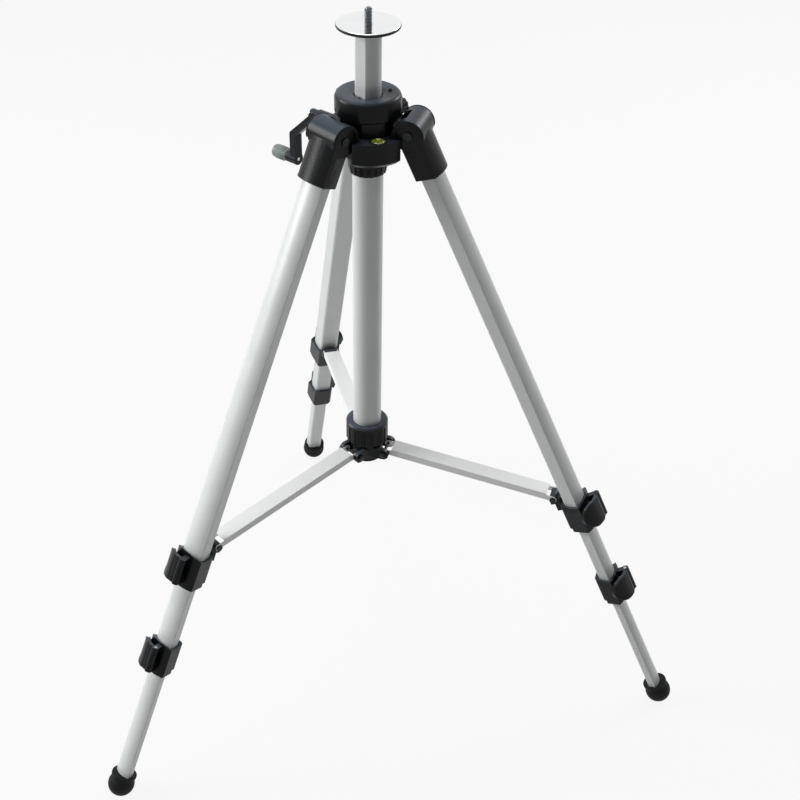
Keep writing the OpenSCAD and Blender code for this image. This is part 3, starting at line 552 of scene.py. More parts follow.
@dataclass(frozen=True)
class TurnedMetal(Finish):
    """Metal turned on a lathe and polished, with fine rings about its axis.

    The tool's feed is about 0.1 mm and is drawn at ring_mm, as coarse as it needs to be to show.
    """

    centre: tuple[float, float, float] = (0.0, 0.0, 0.0)
    ring_mm: float = 0.9
    waver: float = 0.6
    ring_detail: float = 2.0
    smears_per_mm: float = 0.12
    spread: tuple[float, float] = (0.75, 1.25)  # shares of the roughness
    depth: float = 0.06
    relief_mm: float = 0.05

    def lay(self, tree: bpy.types.NodeTree, shader: bpy.types.Node) -> None:
        """Lays turning rings and polishing smears on the shader.

        Args:
            tree: the material's nodes.
            shader: its main shader.
        """
        place = add(tree, "ShaderNodeTexCoord").outputs["Object"]
        about = add(tree, "ShaderNodeMapping", {
            "Vector": place, "Location": self.centre, "Scale": (MM, MM, MM)},
            vector_type="TEXTURE").outputs["Vector"]
        rings = add(tree, "ShaderNodeTexWave", {
            "Vector": about, "Scale": WAVE_PERIOD / self.ring_mm, "Distortion": self.waver,
            "Detail": self.ring_detail}, wave_type="RINGS", rings_direction="Z")
        smear, tone = self.clouded(tree, about, self.smears_per_mm)
        low, high = (self.roughness * share for share in self.spread)
        rough = add(tree, "ShaderNodeMapRange", {"Value": smear, "To Min": low, "To Max": high})
        bump = add(tree, "ShaderNodeBump", {
            "Height": rings.outputs["Fac"], "Strength": self.depth,
            "Distance": self.relief_mm * MM})
        tree.links.new(tone, shader.inputs["Base Color"])
        tree.links.new(rough.outputs["Result"], shader.inputs["Roughness"])
        tree.links.new(bump.outputs["Normal"], shader.inputs["Normal"])


@dataclass(frozen=True)
class PlainSolid(Finish):
    """Rubber, plastic or metal with a fine even grain and a little unevenness of tone."""

    grain_mm: float = 0.8
    cloud_mm: float = 9.0
    spread: tuple[float, float] = (-0.05, 0.06)
    depth: float = 0.15
    relief_mm: float = 0.08

    def lay(self, tree: bpy.types.NodeTree, shader: bpy.types.Node) -> None:
        """Lays a fine even grain on the shader.

        Args:
            tree: the material's nodes.
            shader: its main shader.
        """
        place = add(tree, "ShaderNodeTexCoord").outputs["Object"]
        grain = add(tree, "ShaderNodeTexNoise", {
            "Vector": place, "Scale": 1 / (self.grain_mm * MM), "Detail": DETAIL})
        _, tone = self.clouded(tree, place, 1 / (self.cloud_mm * MM))
        tree.links.new(tone, shader.inputs["Base Color"])
        self.grained(tree, shader, grain.outputs["Fac"], self.spread, self.depth, self.relief_mm)


@dataclass(frozen=True)
class VialAcrylic(Finish):
    """Clear acrylic cup filled with yellow-green spirit, deeper in colour towards its rim."""

    centre: tuple[float, float, float] = (0.0, 0.0, 0.0)
    radius: float = 0.006
    ior: float = 1.49
    coat: float = 0.8
    clear: float = 0.2

    def lay(self, tree: bpy.types.NodeTree, shader: bpy.types.Node) -> None:
        """Lays the spirit's colour on the shader, paler in the middle.

        Args:
            tree: the material's nodes.
            shader: its main shader.
        """
        place = add(tree, "ShaderNodeTexCoord").outputs["Object"]
        about = add(tree, "ShaderNodeMapping", {
            "Vector": place, "Location": self.centre, "Scale": (self.radius,) * 3},
            vector_type="TEXTURE")
        reach = add(tree, "ShaderNodeTexGradient", {
            "Vector": about.outputs["Vector"]}, gradient_type="SPHERICAL")
        tone = add(tree, "ShaderNodeMix", {
            SHARE: reach.outputs["Fac"], FROM: linear(self.shade), TO: linear(self.colour)},
            data_type="RGBA")
        tree.links.new(tone.outputs[MIXED], shader.inputs["Base Color"])
        shader.inputs["IOR"].default_value = self.ior
        shader.inputs["Coat Weight"].default_value = self.coat
        shader.inputs["Transmission Weight"].default_value = self.clear


NYLON = MouldedNylon(
    "black_nylon_moulded", "#060708", "#0b0d0e", roughness=0.3, specular=0.14)
RUBBER = PlainSolid(
    "black_rubber_moulded", "#0d0e0f", "#151617", roughness=0.6, specular=0.15, grain_mm=1.0,
    depth=0.3)
GRIP = PlainSolid("grey_polypropylene_moulded", "#7f8c88", "#74807c", roughness=0.46)
ZINC = PlainSolid(
    "zinc_plated_steel", "#c4c7c9", "#aeb2b5", roughness=0.30, metallic=1.0, grain_mm=1.4,
    depth=0.05)
BLACKED = PlainSolid(
    "blackened_steel", "#1b1e20", "#141618", roughness=0.4, metallic=0.3, specular=0.3,
    grain_mm=1.2, depth=0.08)
BRASS = PlainSolid(
    "brass_plain", "#c9a45c", "#b8924c", roughness=0.34, metallic=1.0, grain_mm=1.2, depth=0.05)
ACETAL = PlainSolid("grey_acetal_turned", "#5a5d60", "#4f5255", roughness=0.48)
BUBBLE = PlainSolid("pale_spirit_bubble", "#eef3c4", "#e4eba8", roughness=0.12)
PLATE_STEEL = TurnedMetal(
    "polished_steel_turned", "#f1f2f2", "#e6e8e9", roughness=0.07, metallic=1.0,
    centre=(0.0, COLUMN_Y, 0.0), depth=0.015)
STUD_STEEL = TurnedMetal(
    "threaded_steel_turned", "#6a7072", "#5b6163", roughness=0.34, metallic=0.8,
    centre=(0.0, COLUMN_Y, 0.0), depth=0.02)


def tube_finish(name: str, axis: Vector, colour: str = "#dfe2e1",
                shade: str = "#d3d7d6") -> AnodisedAluminium:
    """Anodised finish whose die lines run along an axis.

    Args:
        name: which tube or leg it is for.
        axis: direction of the extrusion.
        colour: its main colour.
        shade: the colour that it clouds towards.

    Returns:
        The finish.
    """
    return AnodisedAluminium(
        f"anodised_aluminium_{name}", colour, shade, roughness=0.36, metallic=0.08,
        specular=0.35, turn=turn_to(axis))


# Geometry trees for what repeats

FLOAT, INT, VECTOR = "NodeSocketFloat", "NodeSocketInt", "NodeSocketVector"
ROTATION, MATERIAL = "NodeSocketRotation", "NodeSocketMaterial"
GEOMETRY = "NodeSocketGeometry"
BALL_R = 0.5  # radius of a ball of unit width, which a tree then scales to size


def socket_id(tree: bpy.types.NodeTree, name: str) -> str:
    """Returns the identifier of a geometry tree's named input."""
    sockets = tree.interface.items_tree
    return next(s.identifier for s in sockets if s.name == name and s.in_out == "INPUT")


def grown(name: str, tree: bpy.types.NodeTree, values: dict,
          base: bpy.types.Mesh | None = None) -> bpy.types.Object:
    """Runs a geometry tree and keeps its result as a plain mesh.

    Args:
        name: the object's name.
        tree: the geometry tree.
        values: named input to value.
        base: mesh that the tree starts from, if any.

    Returns:
        The finished object.
    """
    piece = piece_from(name, base or bpy.data.meshes.new(name))
    modifier = piece.modifiers.new("growth", "NODES")
    modifier.node_group = tree
    for key, value in values.items():
        modifier[socket_id(tree, key)] = value
    piece.update_tag()
    return baked(piece)


def new_tree(name: str, inputs: dict[str, tuple[str, object]]) -> tuple[
        bpy.types.NodeTree, bpy.types.Node, bpy.types.Node]:
    """Starts a geometry tree with named inputs and one for its material.

    Args:
        name: the tree's name.
        inputs: input name to its socket type and default.

    Returns:
        The tree, its input node and its output node.
    """
    tree = bpy.data.node_groups.new(name, "GeometryNodeTree")
    tree.interface.new_socket("Geometry", in_out="INPUT", socket_type=GEOMETRY)
    for key, (kind, value) in (inputs | {"Material": (MATERIAL, None)}).items():
        made = tree.interface.new_socket(key, in_out="INPUT", socket_type=kind)
        if value is not None:
            made.default_value = value
    tree.interface.new_socket("Geometry", in_out="OUTPUT", socket_type=GEOMETRY)
    return tree, add(tree, "NodeGroupInput"), add(tree, "NodeGroupOutput")


def close_tree(tree: bpy.types.NodeTree, shape: bpy.types.NodeSocket, given: bpy.types.Node,
               out: bpy.types.Node) -> bpy.types.NodeTree:
    """Ends a geometry tree in Realize Instances and Set Material.

    Args:
        tree: the tree.
        shape: the geometry to end with.
        given: the tree's input node.
        out: the tree's output node.

    Returns:
        The tree.
    """
    real = add(tree, "GeometryNodeRealizeInstances", {"Geometry": shape})
    dressed = add(tree, "GeometryNodeSetMaterial", {
        "Geometry": real.outputs["Geometry"], "Material": given.outputs["Material"]})
    tree.links.new(dressed.outputs["Geometry"], out.inputs["Geometry"])
    return tree


def thread_tree(steps: int = 32, sides: int = 6) -> bpy.types.NodeTree:
    """Builds the tree of a screw thread: a ridge wound round the z axis.

    Args:
        steps: points in one turn.
        sides: faces round the ridge.

    Returns:
        The tree, with inputs Radius, Pitch, Turns, Ridge, Base and Material.
    """
    tree, given, out = new_tree("screw_thread", {
        "Radius": (FLOAT, 0.003), "Pitch": (FLOAT, 0.00127), "Turns": (FLOAT, 8.0),
        "Ridge": (FLOAT, 0.0005), "Base": (VECTOR, (0.0, 0.0, 0.0))})
    rise = add(tree, "ShaderNodeMath", {
        0: given.outputs["Pitch"], 1: given.outputs["Turns"]}, operation="MULTIPLY")
    wound = add(tree, "GeometryNodeCurveSpiral", {
        "Resolution": steps, "Rotations": given.outputs["Turns"], "Height": rise.outputs[0],
        "Start Radius": given.outputs["Radius"], "End Radius": given.outputs["Radius"]})
    ridge = add(tree, "GeometryNodeCurvePrimitiveCircle", {
        "Resolution": sides, "Radius": given.outputs["Ridge"]})
    swept = add(tree, "GeometryNodeCurveToMesh", {
        "Curve": wound.outputs["Curve"], "Profile Curve": ridge.outputs["Curve"],
        "Fill Caps": True})
    placed = add(tree, "GeometryNodeTransform", {
        "Geometry": swept.outputs["Mesh"], "Translation": given.outputs["Base"]})
    return close_tree(tree, placed.outputs["Geometry"], given, out)


def rib_tree(steps: int = 180, segments: int = 10, rings: int = 9) -> bpy.types.NodeTree:
    """Builds the tree of a ring of ribs along an axis.

    Args:
        steps: points of the circle that the ribs stand on.
        segments: faces round a rib.
        rings: faces along a rib.

    Returns:
        The tree, with inputs Count, Radius, Size, Place, Turn and Material.
    """
    tree, given, out = new_tree("rib_ring", {
        "Count": (INT, 20), "Radius": (FLOAT, 0.006), "Size": (VECTOR, (0.001, 0.001, 0.01)),
        "Place": (VECTOR, (0.0, 0.0, 0.0)), "Turn": (ROTATION, None)})
    circle = add(tree, "GeometryNodeCurvePrimitiveCircle", {
        "Resolution": steps, "Radius": given.outputs["Radius"]})
    spots = add(tree, "GeometryNodeCurveToPoints", {
        "Curve": circle.outputs["Curve"], "Count": given.outputs["Count"]})
    ball = add(tree, "GeometryNodeMeshUVSphere", {
        "Segments": segments, "Rings": rings, "Radius": BALL_R})
    rib = add(tree, "GeometryNodeTransform", {
        "Geometry": ball.outputs["Mesh"], "Scale": given.outputs["Size"]})
    spot = add(tree, "GeometryNodeInputPosition")
    facing = add(tree, "FunctionNodeAlignRotationToVector", {
        "Vector": spot.outputs["Position"]}, axis="X", pivot_axis="Z")
    ring = add(tree, "GeometryNodeInstanceOnPoints", {
        "Points": spots.outputs["Points"], "Instance": rib.outputs["Geometry"],
        "Rotation": facing.outputs["Rotation"]})
    turned = add(tree, "GeometryNodeTransform", {
        "Geometry": ring.outputs["Instances"], "Translation": given.outputs["Place"],
        "Rotation": given.outputs["Turn"]})
    return close_tree(tree, turned.outputs["Geometry"], given, out)


def rivet_tree(segments: int = 20, rings: int = 12) -> bpy.types.NodeTree:
    """Builds the tree of domed heads, one on each point of a mesh, along its attribute "way".

    Args:
        segments: faces round a head.
        rings: faces from its top through its foot to the end of its hidden half.

    Returns:
        The tree, with inputs Radius, Height and Material.
    """
    tree, given, out = new_tree("rivet_heads", {
        "Radius": (FLOAT, 0.003), "Height": (FLOAT, 0.0012)})
    across, tall = (
        add(tree, "ShaderNodeMath", {0: given.outputs[half], 1: 2.0}, operation="MULTIPLY")
        for half in ("Radius", "Height"))
    size = add(tree, "ShaderNodeCombineXYZ", {
        "X": across.outputs[0], "Y": across.outputs[0], "Z": tall.outputs[0]})
    ball = add(tree, "GeometryNodeMeshUVSphere", {
        "Segments": segments, "Rings": rings, "Radius": BALL_R})
    head = add(tree, "GeometryNodeTransform", {
        "Geometry": ball.outputs["Mesh"], "Scale": size.outputs["Vector"]})
    way = add(tree, "GeometryNodeInputNamedAttribute", {"Name": "way"}, data_type="FLOAT_VECTOR")
    facing = add(tree, "FunctionNodeAlignRotationToVector", {
        "Vector": way.outputs["Attribute"]}, axis="Z")
    heads = add(tree, "GeometryNodeInstanceOnPoints", {
        "Points": given.outputs["Geometry"], "Instance": head.outputs["Geometry"],
        "Rotation": facing.outputs["Rotation"]})
    shaded = add(tree, "GeometryNodeSetShadeSmooth", {"Geometry": heads.outputs["Instances"]})
    return close_tree(tree, shaded.outputs["Geometry"], given, out)


def bead_tree(sides: int = 8) -> bpy.types.NodeTree:
    """Builds the tree of a round bead along the edges of a mesh.

    Args:
        sides: faces round the bead.

    Returns:
        The tree, with inputs Radius and Material.
    """
    tree, given, out = new_tree("rim_bead", {"Radius": (FLOAT, 0.0005)})
    path = add(tree, "GeometryNodeMeshToCurve", {"Mesh": given.outputs["Geometry"]})
    section = add(tree, "GeometryNodeCurvePrimitiveCircle", {
        "Resolution": sides, "Radius": given.outputs["Radius"]})
    swept = add(tree, "GeometryNodeCurveToMesh", {
        "Curve": path.outputs["Curve"], "Profile Curve": section.outputs["Curve"],
        "Fill Caps": True})
    shaded = add(tree, "GeometryNodeSetShadeSmooth", {"Geometry": swept.outputs["Mesh"]})
    return close_tree(tree, shaded.outputs["Geometry"], given, out)


@dataclass
class Growth:
    """The geometry trees, built once."""

    thread: bpy.types.NodeTree = field(default_factory=thread_tree)
    beads: bpy.types.NodeTree = field(default_factory=bead_tree)
    ribs: bpy.types.NodeTree = field(default_factory=rib_tree)
    rivets: bpy.types.NodeTree = field(default_factory=rivet_tree)

    def rivet_set(self, name: str, spots: list[tuple[Vector, Vector]], radius: float,
                  height: float, finish: Finish) -> bpy.types.Object:
        """Places domed heads.

        Args:
            name: the object's name.
            spots: centre of each head's foot, and the way that it faces.
            radius: radius of a head in metres.
            height: height of a head in metres.
            finish: the heads' finish.

        Returns:
            All the heads as one object.
        """
        base = bpy.data.meshes.new(name)
        base.from_pydata([tuple(spot) for spot, _ in spots], [], [])
        way = base.attributes.new("way", "FLOAT_VECTOR", "POINT")
        for i, (_, facing) in enumerate(spots):
            way.data[i].vector = facing
        values = {"Radius": radius, "Height": height, "Material": finish.material()}
        return grown(name, self.rivets, values, base)

    def rim(self, name: str, node: str, picked: Callable[[bmesh.types.BMFace], bool],
            radius: float, finish: Finish) -> bpy.types.Object:
        """Lays a bead along the border of some of a solid's faces.

        Args:
            name: the object's name.
            node: the solid.
            picked: tells whether a face belongs to the bordered surface.
            radius: radius of the bead in metres.
            finish: the bead's finish.

        Returns:
            The bead.
        """
        work = cleaned(node)
        inside = {face for face in work.faces if picked(face)}
        border = [e for e in work.edges if sum(face in inside for face in e.link_faces) == 1]
        verts = dict.fromkeys(vert for edge in border for vert in edge.verts)
        index = {vert: i for i, vert in enumerate(verts)}
        edges = [[index[vert] for vert in edge.verts] for edge in border]
        base = bpy.data.meshes.new(name)
        base.from_pydata([tuple(vert.co) for vert in index], edges, [])
        work.free()
        return grown(name, self.beads, {"Radius": radius, "Material": finish.material()}, base)


# Sub-assemblies


@dataclass
class Column:
    """Elevating column with its top plate and threaded stud."""

    growth: Growth
    plate_edge: float = 0.35 * MM
    polished_rise: float = 0.6  # faces of the plate whose normal rises more are polished; the others take blackened steel as painted shade and painted dark reflection
    stud_r: float = MOUNTS["instrument_stud"]["dims"]["r_mm"] * MM
    shank_r: float = 2.6 * MM
    stud_steps: int = 40
    collar_in: float = 0.1 * MM
    collar_h: float = 0.6 * MM
    core_rise: float = 1.0 * MM
    tip_h: float = 0.9 * MM
    tip_in: float = 0.5 * MM
    pitch: float = 1.27 * MM
    ridge: float = 0.42 * MM
    thread_rise: float = 1.2 * MM
    thread_deg: float = 50.0

    def build(self) -> None:
        """Dresses the column and makes the plate and the stud with its thread."""
        tube_finish("upright", UP).dress(*solids("centre_column", "column_rack", "outer_tube"))
        NYLON.dress(*solids("column_guide"))
        self.plate()
        self.stud()

    def plate(self) -> None:
        """Makes the plate with a polished top, and blackened steel on its rim and underside as painted shade and
        painted dark reflection.
        """
        made = softened("top_plate", self.plate_edge)
        PLATE_STEEL.dress(made)
        # blackened steel on the rim and underside is painted shade and painted dark reflection on the plain steel
        made.data.materials.append(BLACKED.material())
        for face in made.data.polygons:
            face.material_index = 0 if face.normal.z > self.polished_rise else 1

    def stud(self) -> None:
        """Makes the stud: a core with a thread wound round it and a plain chamfered tip."""
        low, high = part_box("instrument_stud")
        plate = MOUNTS["instrument_stud"]["pos_m"][2]
        core = self.stud_r - 2 * self.ridge
        collar = self.stud_r - self.collar_in
        tip = high.z - self.tip_h
        body = lathe("stud_core", [
            (0, low.z), (self.shank_r, low.z), (self.shank_r, plate), (collar, plate),
            (collar, plate + self.collar_h), (core, plate + self.core_rise),
            (core, tip), (core - self.tip_in, high.z), (0, high.z)],
            Matrix.Translation((0, COLUMN_Y, 0)), self.stud_steps)
        STUD_STEEL.dress(body)
        start = plate + self.thread_rise
        thread = grown("stud_thread", self.growth.thread, {
            "Radius": self.stud_r - self.ridge, "Pitch": self.pitch, "Ridge": self.ridge,
            "Turns": (tip - start) / self.pitch, "Base": (0.0, COLUMN_Y, start),
            "Material": STUD_STEEL.material()})
        smoothed(thread.data, self.thread_deg)
        whole = joined("stud_threaded", [body, thread])
        settle(whole, "column", "steel", "instrument_stud")


@dataclass
class Crown:
    """Head of the tripod: moulded crown, its cap, the bubble level and the lock knob.

    Attributes:
        edge: rounding of the crown, the cap and the tube's end plug.
        knob_edge: rounding of the lock knob.
        vial_depth: height of the vial under its dome.
        bezel: section of the level's bezel, in mm out from the vial's edge and up.
        circle: inner and outer radius of the level's circle, as shares of the vial's radius.
        circle_sink: how far the circle reaches into the dome.
        circle_rise: how far it stands out of the dome.
        bubble: section of the bubble, as a share of the vial's radius and in mm over the dome.
        spirit_spread: reach of the spirit's paler middle, as a share of the vial's radius.
        screw_out: distance of the cap's screw from the column's axis.
        screw_deg: direction of the cap's screw from the column's axis.
        screw_r: radius of its head.
        screw_steps: points round its head.
        screw: section of its head, as a share of its radius and in mm over the cap.
    """

    edge: float = 0.9 * MM
    knob_edge: float = 0.5 * MM
    vial_depth: float = 5.0 * MM
    bezel: tuple[tuple[float, float], ...] = (
        (0.1, -0.4), (1.5, -0.4), (1.4, 0.5), (0.6, 0.9), (0.1, 0.6), (0.1, -0.4))
    circle: tuple[float, float] = (0.42, 0.5)
    circle_sink: float = 0.1 * MM
    circle_rise: float = 0.05 * MM
    bubble: tuple[tuple[float, float], ...] = (
        (0, -0.3), (0.3, -0.3), (0.3, -0.12), (0.2, 0.04), (0, 0.08))
    spirit_spread: float = 1.3
    screw_out: float = 18.5 * MM
    screw_deg: float = -2.0
    screw_r: float = 1.9 * MM
    screw_steps: int = 24
    screw: tuple[tuple[float, float], ...] = (
        (0, -2), (1, -2), (1, 0.5), (0.7, 0.9), (0.35, 0.95), (0.35, 0.4), (0, 0.4))

    def build(self) -> None:
        """Dresses the crown's solids and adds the level's parts and the cap's screw."""
        for node in ("crown", "crown_cap", "tube_end_plug"):
            NYLON.dress(softened(node, self.edge))
        ACETAL.dress(*solids("column_bush"))
        BRASS.dress(*solids("shaft_bush"))
        ZINC.dress(*solids("leg_pivot_pins", "lock_screw"))
        NYLON.dress(softened("lock_knob", self.knob_edge))
        self.level()
        self.cap_screw()

    def level(self) -> None:
        """Finishes the level with a bezel ring, a bubble and the circle that it is read by."""
        low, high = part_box("level_vial")
        centre = (low + high) / 2
        radius = (high.x - low.x) / 2
        dome = high.z - (low.z + self.vial_depth)
        place = Matrix.Translation((centre.x, centre.y, high.z - dome))
        bezel = lathe(
            "level_bezel", [(radius + out * MM, up * MM) for out, up in self.bezel], place)
        NYLON.dress(bezel)
        settle(bezel, "crown_frame", "moulding")
        ball = (radius * radius + dome * dome) / (2 * dome)
        near, far = (share * radius for share in self.circle)
        inner, outer = (math.sqrt(ball * ball - r * r) - ball + dome for r in (near, far))
        circle = lathe("level_circle", [
            (near, inner - self.circle_sink), (near, inner + self.circle_rise),
            (far, outer + self.circle_rise), (far, outer - self.circle_sink),
            (near, inner - self.circle_sink)], place)
        BLACKED.dress(circle)
        settle(circle, "crown_frame", "vial")
        bubble = lathe(
            "level_bubble", [(out * radius, dome + up * MM) for out, up in self.bubble], place)
        BUBBLE.dress(bubble)
        settle(bubble, "crown_frame", "vial")
        spirit = VialAcrylic(
            "yellow_green_acrylic", "#e2f04e", "#c6d526", roughness=0.1, centre=tuple(centre),
            radius=radius * self.spirit_spread)
        spirit.dress(*solids("level_vial"))

    def cap_screw(self) -> None:
        """Sets the small screw that holds the cap into its top, with a hollow in its head."""
        turn = math.radians(self.screw_deg)
        place = Matrix.Translation((
            self.screw_out * math.cos(turn), COLUMN_Y + self.screw_out * math.sin(turn),
            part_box("crown_cap")[1].z))
        head = lathe(
            "cap_screw", [(out * self.screw_r, up * MM) for out, up in self.screw], place,
            self.screw_steps)
        BLACKED.dress(head)
        settle(head, "crown_frame", "steel")


@dataclass
class Crank:
    """Crank that raises the column: shaft, pinion, cranked arm and turning knob."""

    growth: Growth
    arm_edge: float = 0.8 * MM
    knob_edge: float = 0.4 * MM
    ribs: int = 22
    rib_sink: float = 0.15 * MM
    rib_deep: float = 0.9 * MM
    rib_wide: float = 1.0 * MM
    rib_share: float = 0.72  # length of a rib as a share of the knob's
    rib_deg: float = 60.0

    def build(self) -> None:
        """Dresses the crank and ribs its knob."""
        ZINC.dress(*solids("crank_shaft", "crank_pins"))
        BRASS.dress(*solids("pinion"))
        NYLON.dress(softened("crank_arm", self.arm_edge))
        GRIP.dress(softened("crank_knob", self.knob_edge))
        self.knob_ribs()

    def knob_ribs(self) -> None:
        """Sets a ring of ribs round the knob's side."""
        axis = axis_of("crank_knob_spin")
        centre = place_of("crank_knob_spin")
        points = points_from(centre, "crank_knob")
        span = [point.dot(axis) for point in points]
        radius = max(square_to(axis, point).length for point in points)
        low, high = min(span), max(span)
        ribs = grown("crank_knob_ribs", self.growth.ribs, {
            "Count": self.ribs, "Radius": radius - self.rib_sink,
            "Size": (self.rib_deep, self.rib_wide, self.rib_share * (high - low)),
            "Place": tuple(centre + axis * (low + 0.5 * (high - low))), "Turn": turn_to(axis),
            "Material": GRIP.material()})
        smoothed(ribs.data, self.rib_deg)
        settle(ribs, "crank_grip", "grip")


@dataclass
class Spreader:
    """Hub on the outer tube with its lock ring and rivets."""

    growth: Growth
    hub_edge: float = 0.9 * MM
    ring_edge: float = 0.6 * MM
    head_r: float = 2.9 * MM
    head_h: float = 0.8 * MM

    def build(self) -> None:
        """Dresses the hub, its ring and its rivets."""
        NYLON.dress(softened("hub", self.hub_edge), softened("lock_ring", self.ring_edge))
        BLACKED.dress(*solids("hub_rivets"))
        spots = []
        for leg in LegName:
            hinge = f"{leg.value}_brace_fold"
            centre, axis = place_of(hinge), axis_of(hinge)
            reach = end_reach("hub_rivets", centre, axis)
            spots += [(centre + way * reach * axis, way * axis) for way in (-1, 1)]
        heads = self.growth.rivet_set(
            "hub_rivet_heads", spots, self.head_r, self.head_h, BLACKED)
        settle(heads, "spreader_hub", "steel")


@dataclass
class Leg:
    """One leg: knuckle, three tubes, two clamps with levers, brace and ball foot.

    Attributes:
        which: the leg.
        growth: the geometry trees.
        edges_mm: rounding of each moulding.
        foot_edge: rounding of the rubber foot.
        tube_edge: rounding of the tubes.
        tube_deg: smallest angle of an edge of the tubes that is rounded.
        brace_edge: rounding of the brace.
        sheet_steps: facets across a rounding of the tubes and the brace.
        rim_r: radius of the rim beads.
        cheek_skin: how far under the outermost point a face of the cheek may lie.
        cheek_square: how squarely such a face looks along the pivot.
        leaf_skin: band in which faces of a lever's leaf count as one surface.
        leaf_square: how squarely they look away from the tube.
        rim_skin: band round that surface whose faces the bead goes round.
        rim_square: how squarely those look away from the tube.
    """

    which: LegName
    growth: Growth
    edges_mm: tuple[tuple[str, float], ...] = (
        ("knuckle", 1.0), ("upper_clamp", 0.8), ("upper_lever", 0.8), ("lower_clamp", 0.7),
        ("lower_lever", 0.7))
    foot_edge: float = 0.8 * MM
    tube_edge: float = 0.35 * MM
    tube_deg: float = 20.0
    brace_edge: float = 0.5 * MM
    sheet_steps: int = 2
    rim_r: float = 0.45 * MM
    cheek_skin: float = 0.2 * MM
    cheek_square: float = 0.98
    leaf_skin: float = 0.3 * MM
    leaf_square: float = 0.95
    rim_skin: float = 0.4 * MM
    rim_square: float = 0.9

    def part(self, piece: str) -> str:
        """Returns the full name of one of the leg's solids, bodies or joints."""
        return f"{self.which.value}_{piece}"

    def build(self) -> None:
        """Dresses the leg from the knuckle down to the foot."""
        tube = tube_finish(self.which.value, axis_of(self.part("middle_slide")))
        for node in ("upper_tube", "middle_tube", "lower_tube"):
            tube.dress(softened(
                self.part(node), self.tube_edge, self.sheet_steps, self.tube_deg))
        for node, edge in self.edges_mm:
            NYLON.dress(softened(self.part(node), edge * MM))
        BLACKED.dress(*solids(self.part("upper_pins")))
        ZINC.dress(*solids(self.part("lower_pin")))
        RUBBER.dress(softened(self.part("foot"), self.foot_edge))
        self.brace()
        self.cheek_rims()
        self.lever_rim("upper", "top_catch")
        self.lever_rim("lower", "mid_catch")

    def cheek_rims(self) -> None:
        """Lays a bead along the rims of the knuckle's two cheeks."""
        pivot = place_of(self.part("leg_fold"))
        across = axis_of(self.part("leg_fold"))
        node = self.part("knuckle")
        half = max(point.dot(across) for point in points_from(pivot, node))

        def on_cheek(face: bmesh.types.BMFace) -> bool:
            """Tells whether a face lies on the outside of a cheek."""
            away = abs((face.calc_center_median() - pivot).dot(across))
            square = abs(face.normal.dot(across))
            return away > half - self.cheek_skin and square > self.cheek_square

        bead = self.growth.rim(self.part("cheek_rims"), node, on_cheek, self.rim_r, NYLON)
        settle(bead, self.part("leg_top"), "moulding")

    def lever_rim(self, clamp: str, body: str) -> None:
        """Lays a bead round the outer face of a clamp lever.

        Args:
            clamp: upper or lower.
            body: the body that the lever moves with.
        """
        node = self.part(f"{clamp}_lever")
        along = axis_of(self.part("middle_slide"))
        low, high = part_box(self.part("upper_tube"))
        middle = (low + high) / 2

        def outward(face: bmesh.types.BMFace) -> tuple[float, float]:
            """Returns how far out from the tube a face lies and how squarely it looks out."""
            away = square_to(along, face.calc_center_median() - middle)
            return away.length, face.normal.dot(away.normalized())

        work = cleaned(node)
        faces = [(*outward(face), face.calc_area()) for face in work.faces]
        work.free()
        leaf = [(out, area) for out, square, area in faces if square > self.leaf_square]
        reach = max((out for out, _ in leaf), key=lambda at: sum(
            area for out, area in leaf if abs(out - at) < self.leaf_skin))

        def on_leaf(face: bmesh.types.BMFace) -> bool:
            """Tells whether a face lies on the outside of the lever's leaf."""
            out, square = outward(face)
            return abs(out - reach) < self.rim_skin and square > self.rim_square

        bead = self.growth.rim(self.part(f"{clamp}_lever_rim"), node, on_leaf, self.rim_r, NYLON)
        settle(bead, self.part(body), "moulding")

    def brace(self) -> None:
        """Dresses the brace with die lines along it and rounded bends, in a paler copy of the tubes' anodised
        colour that is a painted highlight of the light on its top.
        """
        run = place_of(self.part("leg_fold")) - place_of(self.part("brace_fold"))
        # paler copy of the tubes' anodised colour: painted highlight for the light falling on the brace's top
        finish = tube_finish(self.part("brace"), run.normalized(), "#f4f5f4", "#eceeed")
        finish.dress(softened(self.part("brace"), self.brace_edge, self.sheet_steps))


@dataclass(frozen=True)
class SoftBox:
    """One square lamp.

    Attributes:
        name: the lamp's name.
        spot: where it hangs, in metres.
        size: its side in metres.
        power: its power in watts.
    """

    name: str
    spot: tuple[float, float, float]
    size: float
    power: float


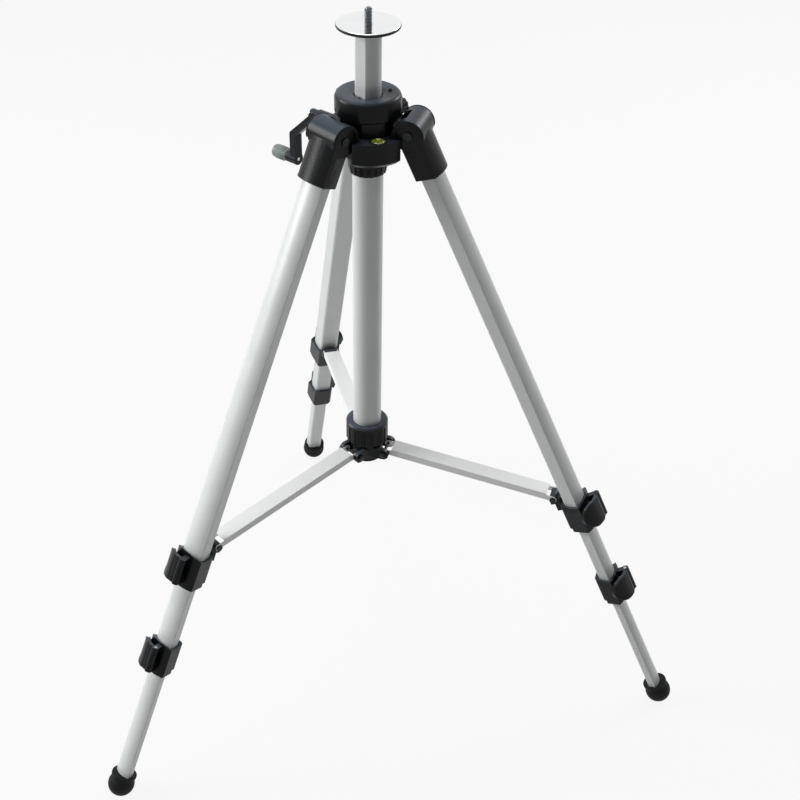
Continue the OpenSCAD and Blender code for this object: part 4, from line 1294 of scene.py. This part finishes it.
@dataclass
class Studio:
    """Camera, floor and soft light.

    Attributes:
        eye: the camera's place.
        look: the way that it looks.
        right: the way to the right of its picture.
        lens: its focal length in mm.
        sensor: width of its sensor in mm.
        clip: nearest distance that it shows.
        ambient: strength of the even light.
        floor_r: radius of the floor.
        floor_steps: points round the floor.
        floor_rough: roughness of the floor.
        floor_white: share of white that the floor shows over its own colour and shadow.
        aim_z: height on the column that the lamps point at.
        boxes: the lamps.
    """

    eye: tuple[float, float, float] = (-0.227, -1.1195, 1.082)
    look: tuple[float, float, float] = (0.1955, 0.7853, -0.5873)
    right: tuple[float, float, float] = (0.97305, -0.22997, 0.01641)
    lens: float = 62.25
    sensor: float = 36.0
    clip: float = 0.02
    ambient: float = 0.07
    floor_r: float = 9.0
    floor_steps: int = 96
    floor_rough: float = 0.8
    floor_white: float = 0.9
    aim_z: float = 0.35
    boxes: tuple[SoftBox, ...] = (
        SoftBox("key", (-2.0, 0.6, 1.3), size=1.1, power=47.0),
        SoftBox("right", (1.9, 0.9, 1.6), size=1.0, power=26.0),
        SoftBox("overhead", (-0.3, 0.4, 2.5), size=1.2, power=15.0))

    def build(self) -> None:
        """Sets up the camera, the floor, the world and the lamps."""
        self.camera()
        self.floor()
        self.world()
        self.lamps()
        bpy.context.scene.view_settings.view_transform = "Standard"

    def camera(self) -> None:
        """Puts the camera where the photograph was taken from."""
        data = bpy.data.cameras.new("camera")
        data.lens = self.lens
        data.sensor_width = self.sensor
        data.sensor_fit = "HORIZONTAL"
        data.clip_start = self.clip
        made = bpy.data.objects.new("camera", data)
        back = -Vector(self.look).normalized()
        side = Vector(self.right).normalized()
        turn = Matrix((side, back.cross(side), back)).transposed().to_4x4()
        made.matrix_world = Matrix.Translation(self.eye) @ turn
        bpy.context.scene.collection.objects.link(made)
        bpy.context.scene.camera = made

    def floor(self) -> None:
        """Lays a plain pale floor that keeps a soft shadow."""
        work = bmesh.new()
        bmesh.ops.create_circle(
            work, cap_ends=True, segments=self.floor_steps, radius=self.floor_r)
        mesh = bpy.data.meshes.new("floor")
        work.to_mesh(mesh)
        work.free()
        made = piece_from("floor", mesh)
        material = bpy.data.materials.new("pale_studio_floor")
        material.use_nodes = True
        tree = material.node_tree
        shader = tree.nodes["Principled BSDF"]
        shader.inputs["Base Color"].default_value = linear("#c4c4c2")
        shader.inputs["Roughness"].default_value = self.floor_rough
        share = add(tree, "ShaderNodeMath", {
            0: seen_rays(tree), 1: self.floor_white}, operation="MULTIPLY")
        glow = add(tree, "ShaderNodeEmission", {"Color": WHITE, "Strength": 1.0})
        mixed = add(tree, "ShaderNodeMixShader", {
            0: share.outputs[0], 1: shader.outputs["BSDF"], 2: glow.outputs["Emission"]})
        tree.links.new(mixed.outputs["Shader"], tree.nodes["Material Output"].inputs["Surface"])
        mesh.materials.append(material)

    def world(self) -> None:
        """Lights the room evenly and shows a white background."""
        world = bpy.data.worlds.new("studio")
        bpy.context.scene.world = world
        world.use_nodes = True
        tree = world.node_tree
        fill = tree.nodes["Background"]
        fill.inputs["Color"].default_value = WHITE
        fill.inputs["Strength"].default_value = self.ambient
        white = add(tree, "ShaderNodeBackground", {"Color": WHITE, "Strength": 1.0})
        mixed = add(tree, "ShaderNodeMixShader", {
            0: seen_rays(tree), 1: fill.outputs["Background"], 2: white.outputs["Background"]})
        tree.links.new(mixed.outputs["Shader"], tree.nodes["World Output"].inputs["Surface"])

    def lamps(self) -> None:
        """Hangs the soft boxes: a key at the left, a weaker one at the right, one overhead."""
        aim = Vector((0, COLUMN_Y, self.aim_z))
        for box in self.boxes:
            data = bpy.data.lights.new(box.name, "AREA")
            data.size = box.size
            data.energy = box.power
            made = bpy.data.objects.new(box.name, data)
            made.location = box.spot
            made.rotation_euler = (aim - Vector(box.spot)).to_track_quat("-Z", "Y").to_euler()
            bpy.context.scene.collection.objects.link(made)


def main() -> None:
    """Builds the tripod's sub-assemblies in order, then the studio."""
    logging.basicConfig(level=logging.INFO, format="%(name)s: %(message)s")
    growth = Growth()
    legs = [Leg(which, growth) for which in LegName]
    for part in (Column(growth), Crown(), Crank(growth), Spreader(growth), *legs):
        part.build()
        log.info("%s built", type(part).__name__)
    Studio().build()


if __name__ == "__main__":
    main()
